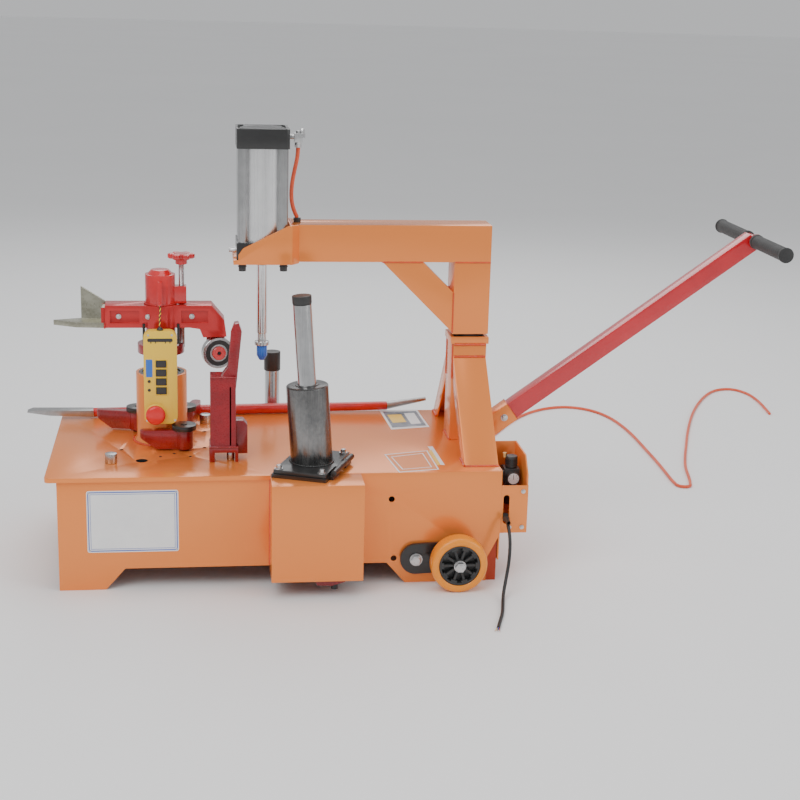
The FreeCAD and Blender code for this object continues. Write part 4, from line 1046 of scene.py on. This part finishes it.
class TC_OT_column(bpy.types.Operator):
    """Build the column with its sloped front and rear legs"""
    bl_idname = "tire_changer.column"
    bl_label = "Column"

    def execute(self, context):
        edge = sizes().edge * 1000
        refined("column_tube", "base", "orange_paint", edge * 2)
        refined("column_legs", "base", "orange_paint", edge * 1.4)
        x0, x1 = 1060, 1152
        lines = [[(x0, 42.4, 308), (x1, 42.4, 308)], [(x0 - 0.6, 44, 308), (x0 - 0.6, 112, 308)],
                 [(x0 - 0.6, 292, 308), (x0 - 0.6, 388, 308)], [(x0 - 0.6, 535, 308), (x0 - 0.6, 603, 308)],
                 [(x0 - 0.6, 291.6, 486), (x0 - 0.6, 291.6, 582)],
                 [(x0 - 0.6, 388.4, 476), (x0 - 0.6, 388.4, 582)],
                 [(x0 + 2, 285.5, 583), (x1 - 2, 285.5, 583)], [(x0 + 2, 285.2, 549), (x1 - 2, 285.2, 549)]]
        welds("column_welds", lines, "base", radius=3.4)
        turned_piece("swivel_ring", "base", "black_plastic",
                     [(31, 0), (43.6, 0), (43.6, 7.4), (31, 7.4)], (*SWIVEL, 604.2), Z, 56)
        return {"FINISHED"}


class TC_OT_press_arm(bpy.types.Operator):
    """Build the swinging press arm, its swivel and its fasteners"""
    bl_idname = "tire_changer.press_arm"
    bl_label = "Press arm"

    def execute(self, context):
        refined("arm_frame", "press_arm", "orange_paint", sizes().edge * 2200)
        recolour("swivel_shaft", "turned_steel")
        lines = [[(612.4, 289.5, 812), (612.4, 289.5, 912)], [(612, 290, 912.4), (612, 390, 912.4)],
                 [(858, 289.6, 811.6), (969, 289.6, 811.6)], [(1055.6, 289.6, 727), (1055.6, 289.6, 616)],
                 [(1056, 289.6, 811.5), (1156, 289.6, 811.5)], [(858, 390.4, 811.6), (969, 390.4, 811.6)],
                 [(858, 291, 811.4), (858, 389, 811.4)], [(1055.4, 291, 616), (1055.4, 389, 616)]]
        welds("arm_welds", lines, "press_arm", radius=2.0)
        places = [((x, y, 801.8), (0, 0, -1)) for x in (480, 590) for y in (285, 395)]
        bolts("head_bolts", places, 18, 9, 24, "press_arm", "black_paint")
        return {"FINISHED"}


class TC_OT_cylinder(bpy.types.Operator):
    """Build the air cylinder, its caps, fittings, rod and blue tip"""
    bl_idname = "tire_changer.cylinder"
    bl_label = "Air cylinder"

    def execute(self, context):
        centre_x, centre_y = CYLINDER
        low, high, bore_outside, rod_offset = 865.0, 1113.0, 66.0, 55
        corner_reach, corner_radius, corner_angle = 77.8, 11.5, 10.5
        outline = []
        for k in range(240):
            a = 2 * math.pi * k / 240
            off = abs((math.degrees(a) % 90) - 45)
            r = bore_outside
            if off < corner_angle:
                reach = corner_reach * math.cos(math.radians(off))
                across = corner_reach * math.sin(math.radians(off))
                r = max(r, reach + math.sqrt(max(0.0, corner_radius ** 2 - across ** 2)))
            outline.append((centre_x + r * math.cos(a), centre_y + r * math.sin(a)))
        bm = bmesh.new()
        add_prism(bm, outline, low, high, "xy")
        # The lobes' outer faces in the middle band get a darker alloy: painted dark reflection of the
        # barrel's sides.
        for face in bm.faces:
            c = (face.calc_center_median() - CORNER) * 1000
            r = math.hypot(c.x - centre_x, c.y - centre_y)
            face.material_index = 1 if r > 67.5 and abs(c.z - 989) < 100 else 0
        keep(bm, "cylinder_profile", "press_arm", ["tube_alloy", "alloy_painted_dark_reflection"],
             ["cylinder_barrel"], sharp=28)

        def cap_look(centre, face):
            sideways, back = abs(centre.x - centre_x), abs(centre.y - centre_y)
            on_rod = math.hypot(sideways - rod_offset, back - rod_offset) < 11
            return 1 if on_rod and low + 1 < centre.z < high - 1 else 0

        refined("cylinder_caps", "press_arm", ["black_paint", "zinc"], 2.2, cap_look)
        bm = bmesh.new()
        for dx, dy, w, d in ((-46, -40, 92, 8), (-46, 32, 92, 8), (-46, -32, 8, 64), (38, -32, 8, 64),
                             (-26, -4, 52, 8), (-4, -26, 8, 52)):
            add_box(bm, centre_x + dx, centre_x + dx + w, centre_y + dy, centre_y + dy + d, 1163.6, 1164.9)
        keep(bm, "cap_relief", "press_arm", "cast_grey", sharp=40)
        refined("air_fittings", "press_arm", ["zinc", "black_plastic"], 1.6,
                lambda centre, face: 1 if centre.z < 1000 else 0)
        bm = bmesh.new()
        add_lathe(bm, [(0, 0), (8, 0), (8, 10), (6, 12), (6, 22), (4.5, 24), (0, 24)], (641, 340, 1138), Z, 6)
        add_lathe(bm, [(0, 0), (6, 0), (6, 5), (4.5, 6), (0, 6)], (630, 340, 1150), Z, 20)
        add_lathe(bm, [(0, 0), (8, 0), (8, 9), (6.5, 12), (6.5, 19), (0, 20)], (465, 340, 836), (-1, 0, 0),
                  20)
        keep(bm, "valve_fittings", "press_arm", "zinc")

        def rod_look(centre, face):
            from_middle = math.hypot(centre.x - centre_x, centre.y - centre_y)
            return 1 if 572 < centre.z < 584 and from_middle > 15 else 0

        refined("press_rod", "press_ram", ["bright_steel", "zinc"], 1.4, rod_look)
        refined("press_tip", "press_ram", "blue_plastic", 2.0)
        turned_piece("rod_wiper", "press_arm", "black_plastic",
                     [(14.2, 0), (16, 1), (16, 9), (14.2, 10)], (*CYLINDER, 796), Z, 40)
        return {"FINISHED"}


# ---------------------------------------------------------------- lifting rams and wheels

class TC_OT_lifters(bpy.types.Operator):
    """Build the tilting front lifting ram and the rear one"""
    bl_idname = "tire_changer.lifters"
    bl_label = "Lifting rams"

    def execute(self, context):
        refined("lifter_base", "base", "black_paint", 1.6)
        refined("lifter_plate", "front_lifter", "black_paint", 1.6)
        refined("lifter_barrel", "front_lifter", "dark_steel", 2.4)
        refined("lifter_rod_front", "front_ram", ["bright_steel", "black_plastic"], 2.2,
                lambda centre, face: 1 if centre.z > 744 else 0)
        refined("rear_barrel", "base", "dark_steel", 2.2)
        refined("lifter_rod_rear", "rear_ram", ["bright_steel", "black_plastic"], 2.2,
                lambda centre, face: 1 if centre.z > 415.8 else 0)
        a = math.radians(LIFTER_TURN)
        corner = Vector((*LIFTER_CORNER, 0))
        left, back = Vector((-math.cos(a), math.sin(a), 0)), Vector((math.sin(a), math.cos(a), 0))
        places = []
        for u, v in ((16, 16), (132, 16), (16, 205), (132, 205)):
            p = corner + left * u + back * v
            places.append(((p.x, p.y, 327.5), (0, 0, 1)))
        bolts("plate_bolts", places, 15, 8, 22, "front_lifter")
        foot = corner + left * 73.5 + back * 110.5
        welds("ram_weld", [circle_line((foot.x, foot.y, 328.5), 56)], "front_lifter",
              "black_paint", 3.0)
        lean = Vector((-math.sin(math.radians(LIFTER_LEAN)), 0, math.cos(math.radians(LIFTER_LEAN))))
        top = Vector((foot.x, foot.y, 327.5)) + lean * 205
        turned_piece("ram_gland", "front_lifter", "black_paint",
                     [(24.3, -6), (53, -6), (53.6, -5), (53.6, 0.6), (52, 1.6), (31, 1.6), (30, 3.2),
                      (26, 3.6), (24.3, 2.4)], tuple(top), tuple(lean), 56)
        turned_piece("rear_gland", "base", "black_paint",
                     [(22, -4), (50, -4), (51, -3), (51, 0.8), (28, 1.2), (26, 3), (22, 2.6)],
                     (*REAR_RAM, 290), Z, 56)
        return {"FINISHED"}


class TC_OT_wheels(bpy.types.Operator):
    """Build the two wheels on their swinging links"""
    bl_idname = "tire_changer.wheels"
    bl_label = "Wheels"

    def execute(self, context):
        ribs = sizes().ribs
        for place, tag, sign in (("front", "f", 1), ("rear", "r", -1)):
            wall = 0 if place == "front" else CABINET_DEPTH
            middle = wall - sign * WHEEL_GAP
            out = (0, -sign, 0)
            bm = bmesh.new()
            tread = [(55.1, -22), (58, -24.4), (64, -24.9), (70, -23.4), (73.4, -20), (74.8, -14),
                     (75, -6), (75, 6), (74.8, 14), (73.4, 20), (70, 23.4), (64, 24.9), (58, 24.4),
                     (55.1, 22)]
            add_lathe(bm, tread, (WHEEL_X, middle, WHEEL_Z), out, 96)
            keep(bm, f"wheel_tread_{place}_turned", "wheel_" + tag, "amber_tread",
                 ["wheel_tread_" + place], sharp=50)
            bm = bmesh.new()
            rim = [(47.5, -20), (54.8, -20.8), (54.9, 20.8), (52, 22.6), (48.6, 21), (47.5, 18)]
            web = [(16, -3.5), (48, -3.5), (48, 3.5), (16, 3.5)]
            hub = [(8.3, -36), (17, -36), (17.8, -35), (17.8, 20), (16, 23.6), (12.5, 24.2), (12, 22),
                   (8.3, 22)]
            for profile in (rim, web, hub):
                add_lathe(bm, profile, (WHEEL_X, middle, WHEEL_Z), out, 64)
            keep(bm, f"wheel_core_{place}_moulded", "wheel_" + tag, "black_plastic",
                 ["wheel_core_" + place])
            facing = Vector(out).to_track_quat("Z", "Y").to_matrix().to_4x4()
            placed = Matrix.Translation(at(WHEEL_X, middle, WHEEL_Z)) @ facing
            grown(f"wheel_ribs_{place}", bpy.data.meshes.new("rib_start"), rib_tree(),
                  {"Count": ribs, "Middle radius": 0.0328, "Length": 0.0316, "Width": 0.0062, "Depth": 0.036,
                   "Finish": finish("black_plastic")}, "wheel_" + tag, placed)
            grown(f"wheel_lugs_{place}", bpy.data.meshes.new("lug_start"), rib_tree(),
                  {"Count": ribs, "Middle radius": 0.0452, "Length": 0.0062, "Width": 0.0165, "Depth": 0.041,
                   "Finish": finish("black_plastic")}, "wheel_" + tag, placed)

            def link_look(centre, face):
                return 0 if sign * (wall - centre.y) < 13.4 else 1

            refined("wheel_link_" + place, "link_" + tag, ["black_paint", "zinc"], 1.6,
                    link_look)
            front, bolt_face = wall - sign * 86.3, wall - sign * 15.2
            turned_piece(f"wheel_washer_{place}", "link_" + tag, "zinc",
                         [(8.2, 0), (16, 0), (16, 0.9), (8.2, 0.9)], (WHEEL_X, front, WHEEL_Z), out, 32)
            bolts(f"link_bolt_{place}", [((LINK_X, bolt_face, LINK_Z), out)], 27, 10, 34, "base")
        return {"FINISHED"}


# ---------------------------------------------------------------- handle, remote, tools and housing

class TC_OT_handle(bpy.types.Operator):
    """Build the push handle with its socket and grips"""
    bl_idname = "tire_changer.handle"
    bl_label = "Push handle"

    def execute(self, context):
        refined("handle_socket", "base", "orange_paint", 3.0)
        bm = merged("handle_bar")
        bar_x, bar_y, bar_z = CROSS_BAR
        spare = []
        for face in bm.faces:
            c = (face.calc_center_median() - CORNER) * 1000
            sideways, away = abs(c.y - bar_y), math.hypot(c.x - bar_x, c.z - bar_z)
            if (sideways > 31.5 and 12.0 < away < 30) or sideways > 100:
                spare.append(face)
        bmesh.ops.delete(bm, geom=spare, context="FACES")
        soften(bm, 3.0)
        keep(bm, "handle_tube", "handle", "handle_paint", ["handle_bar"], outward=False)
        turned_piece("cross_bar_middle", "handle", "handle_paint",
                     [(0, -33), (14.9, -33), (14.9, 33), (0, 33)], CROSS_BAR, Y, 40)
        for side, start in (("near", -1), ("far", 1)):
            profile = [(0, 32), (18, 32), (20.4, 34), (20.6, 43), (19, 45), (18.4, 46)]
            h = 46.0
            while h < 250:
                profile += [(18.2, h + 1.5), (19.0, h + 4.5), (19.0, h + 9.5), (18.2, h + 12.5)]
                h += 14.0
            profile += [(19.4, 253), (20.8, 255), (20.8, 259.5), (19.0, 261.6), (0, 262)]
            turned_piece(f"grip_{side}", "handle", "grip_rubber", profile, CROSS_BAR,
                         (0, start, 0), 40, sharp=50)
        a = math.radians(HANDLE_SLOPE)
        along = Vector((math.cos(a), 0, math.sin(a)))
        up = Vector((-math.sin(a), 0, math.cos(a)))
        foot = Vector(HANDLE_FOOT)
        c = foot + along * 107
        corners = ((27, -27), (27, 27), (-27, 27), (-27, -27), (27, -27))
        lip = [tuple(c + up * u + Y * v) for u, v in corners]
        welds("socket_lip", [lip], "base", radius=1.4)
        head = tuple(foot + along * 78 - Y * 28.2)
        bolts("socket_bolt", [(head, TOWARDS_FRONT)], 15, 7, 20, "base")
        return {"FINISHED"}


class TC_OT_remote(bpy.types.Operator):
    """Build the hanging remote control with its buttons"""
    bl_idname = "tire_changer.remote"
    bl_label = "Remote control"

    def execute(self, context):
        refined("remote_case", "remote", "yellow_plastic", 3.2)
        for k in range(1, 5):
            refined(f"remote_button_{k}", f"button_{k}", "black_plastic", 2.4)
        front = REMOTE_FRONT
        turned_piece("stop_button_moulded", "stop_button", "red_plastic",
                     [(0, -2), (11, -2), (11, 9), (24.5, 9), (26, 10.5), (26, 16), (24, 19.4), (18, 21.2),
                      (0, 22)], (247, front, 410), TOWARDS_FRONT, 48, stands_for=["remote_stop"], sharp=50)
        bm = bmesh.new()
        add_lathe(bm, [(11.8, 0), (27, 0), (27, 1.6), (24, 3.4), (14, 4.4), (11.8, 4.4)],
                  (247, front, 410), TOWARDS_FRONT, 48, 0)
        add_prism(bm, rounded_outline(228, 294, 608, 617, 3), front - 0.8, front + 0.4, "xz", 1)
        for x in (236, 248, 274, 286):
            add_box(bm, x, x + 2, front - 1.0, front, 604, 608, 1)
        for k in range(4):
            z = 548 - 24.5 * k
            add_rim(bm, 246.4, 279.6, front - 1.6, front + 0.2, z - 12.0, z + 12.0, 2)
        add_prism(bm, rounded_outline(223, 240, 512, 560, 2), front - 0.5, front + 0.3, "xz", 2)
        add_lathe(bm, [(0, 0), (4.2, 0), (4.2, 0.8), (0, 0.8)], (231, front, 500), TOWARDS_FRONT, 20, 1)
        add_lathe(bm, [(0, 0), (4.2, 0), (4.2, 0.8), (0, 0.8)], (231, front, 476), TOWARDS_FRONT, 20, 1)
        for x, z in ((224, 392), (230, 626), (298, 392), (292, 626)):
            add_lathe(bm, [(0, 0), (3, 0), (3, 0.5), (0, 0.5)], (x, front, z), TOWARDS_FRONT, 16, 3)
        keep(bm, "remote_face", "remote", ["yellow_plastic", "black_plastic", "blue_plastic", "zinc"])
        turned_piece("lanyard_boot", "remote", "black_plastic",
                     [(0, 0), (9, 0), (9, 4), (6, 7), (4.5, 10), (0, 10)], (261, 241, 634), Z, 28)
        return {"FINISHED"}


class TC_OT_loose_tools(bpy.types.Operator):
    """Build the pry bar and the horned tool that stand on the table"""
    bl_idname = "tire_changer.loose_tools"
    bl_label = "Pry bar and horned tool"

    def execute(self, context):
        refined("pry_bar", "pry", ["bar_steel", "bright_red_paint"], 2.4,
                lambda centre, face: 1 if 329 < centre.x < 721 else 0)
        refined("horn_stop", "horn", "claw_paint", 2.6)
        lines = [[(390.6, 117.6, 536), (458.4, 117.6, 536)], [(388, 111.6, 348), (464, 111.6, 348)],
                 [(458.6, 140, 400), (458.6, 140, 322)]]
        welds("horn_welds", lines, "horn", "claw_paint", 2.6)
        bm = bmesh.new()
        add_box(bm, 440, 447, 118, 126, 349, 512)
        soften(bm, 1.6)
        keep(bm, "horn_rib", "horn", "claw_paint")
        return {"FINISHED"}


class TC_OT_end_housing(bpy.types.Operator):
    """Build the right end's housing with the air regulator"""
    bl_idname = "tire_changer.end_housing"
    bl_label = "End housing"

    def execute(self, context):
        refined("regulator_housing", "base", "orange_paint", 2.0)
        refined("air_regulator", "base", "black_plastic", 2.2)
        bm = bmesh.new()
        knob = [(0, 0.4), (15, 0.4), (16.6, 2), (16.6, 8), (15.4, 9), (15.4, 22), (16.6, 23), (16.6, 29),
                (15, 31.4), (0, 32)]
        add_lathe(bm, knob, (1194, 84, 292.2), Z, 40)
        keep(bm, "regulator_knob_turned", "air_knob", "black_plastic", ["regulator_knob"])
        placed = Matrix.Translation(at(1194, 84, 307.5))
        grown("knob_ribs", bpy.data.meshes.new("knob_rib_start"), rib_tree(),
              {"Count": 18, "Middle radius": 0.0156, "Length": 0.0022, "Width": 0.0026, "Depth": 0.013,
               "Finish": finish("black_plastic")},
              "air_knob", placed)
        bm = bmesh.new()
        add_lathe(bm, [(0, 0), (16, 0), (17.4, 1.5), (17.4, 9), (15.4, 10.4), (15.4, 9.2), (0, 9.2)],
                  (1194, 55, 270), TOWARDS_FRONT, 40, 0)
        add_lathe(bm, [(0, 9.3), (15, 9.3), (15, 9.6), (0, 9.6)], (1194, 55, 270), TOWARDS_FRONT, 40, 1)
        add_box(bm, 1193.4, 1194.6, 45.0, 45.4, 268, 281, 2)
        for k in range(7):
            made = add_box(bm, 1193.6, 1194.4, 45.1, 45.5, 280, 283, 2)
            turn(bm, made, (1194, 45, 270), Y, -120 + 40 * k)
        add_lathe(bm, [(0, 0), (6, 0), (6, 12), (0, 12)], (1175, 84, 320), Z, 6, 3)
        keep(bm, "pressure_gauge", "base", ["black_plastic", "sticker_white", "dark_inside", "brass"])
        turned_piece("cord_boot", "base", "black_plastic",
                     [(4.7, -4), (8.6, -4), (8.6, 4), (7.2, 8), (5.6, 26), (5.0, 34), (4.7, 34)],
                     (1168, -7, 176), TOWARDS_FRONT, 28)
        turned_piece("hose_collar", "base", "brass",
                     [(5.2, 0), (9, 0), (9, 6), (7, 8), (6.4, 20), (5.2, 22)], (1190, 186, 262),
                     (0, 1, -0.05), 24)
        # Painted shade: a near-black strip behind the cord slot.
        bm = bmesh.new()
        add_box(bm, 1155.5, 1157.5, 3.8, 4.6, 150, 250)
        keep(bm, "slot_painted_shade", "base", "dark_inside")
        screws = [((x, -0.2, z), TOWARDS_FRONT) for x, z in ((1178, 150), (1212, 150), (1212, 250))]
        bolts("housing_screws", screws, 9, 3, 12, "base")
        return {"FINISHED"}


STEPS = (TC_OT_stage, TC_OT_cords, TC_OT_cabinet, TC_OT_labels, TC_OT_post, TC_OT_tool_arm, TC_OT_claws,
         TC_OT_column, TC_OT_press_arm, TC_OT_cylinder, TC_OT_lifters, TC_OT_wheels, TC_OT_handle,
         TC_OT_remote, TC_OT_loose_tools, TC_OT_end_housing)


class TC_PT_panel(bpy.types.Panel):
    """Colours, sizes and the steps that build the machine"""
    bl_idname = "TC_PT_panel"
    bl_label = "Tire Changer"
    bl_space_type = "VIEW_3D"
    bl_region_type = "UI"
    bl_category = "Tire Changer"

    def draw(self, context):
        layout = self.layout
        for group in (colours(), sizes()):
            for name in group.__annotations__:
                layout.prop(group, name)
        for step in STEPS:
            layout.operator(step.bl_idname)


CLASSES = (TireChangerColours, TireChangerSizes, *STEPS, TC_PT_panel)


def register():
    for one in CLASSES:
        bpy.utils.register_class(one)
    bpy.types.Scene.tire_changer_colours = PointerProperty(type=TireChangerColours)
    bpy.types.Scene.tire_changer_sizes = PointerProperty(type=TireChangerSizes)


def unregister():
    del bpy.types.Scene.tire_changer_sizes
    del bpy.types.Scene.tire_changer_colours
    for one in reversed(CLASSES):
        bpy.utils.unregister_class(one)


def main():
    register()
    for step in STEPS:
        area, _, name = step.bl_idname.partition(".")
        getattr(getattr(bpy.ops, area), name)()


if __name__ == "__main__":
    main()
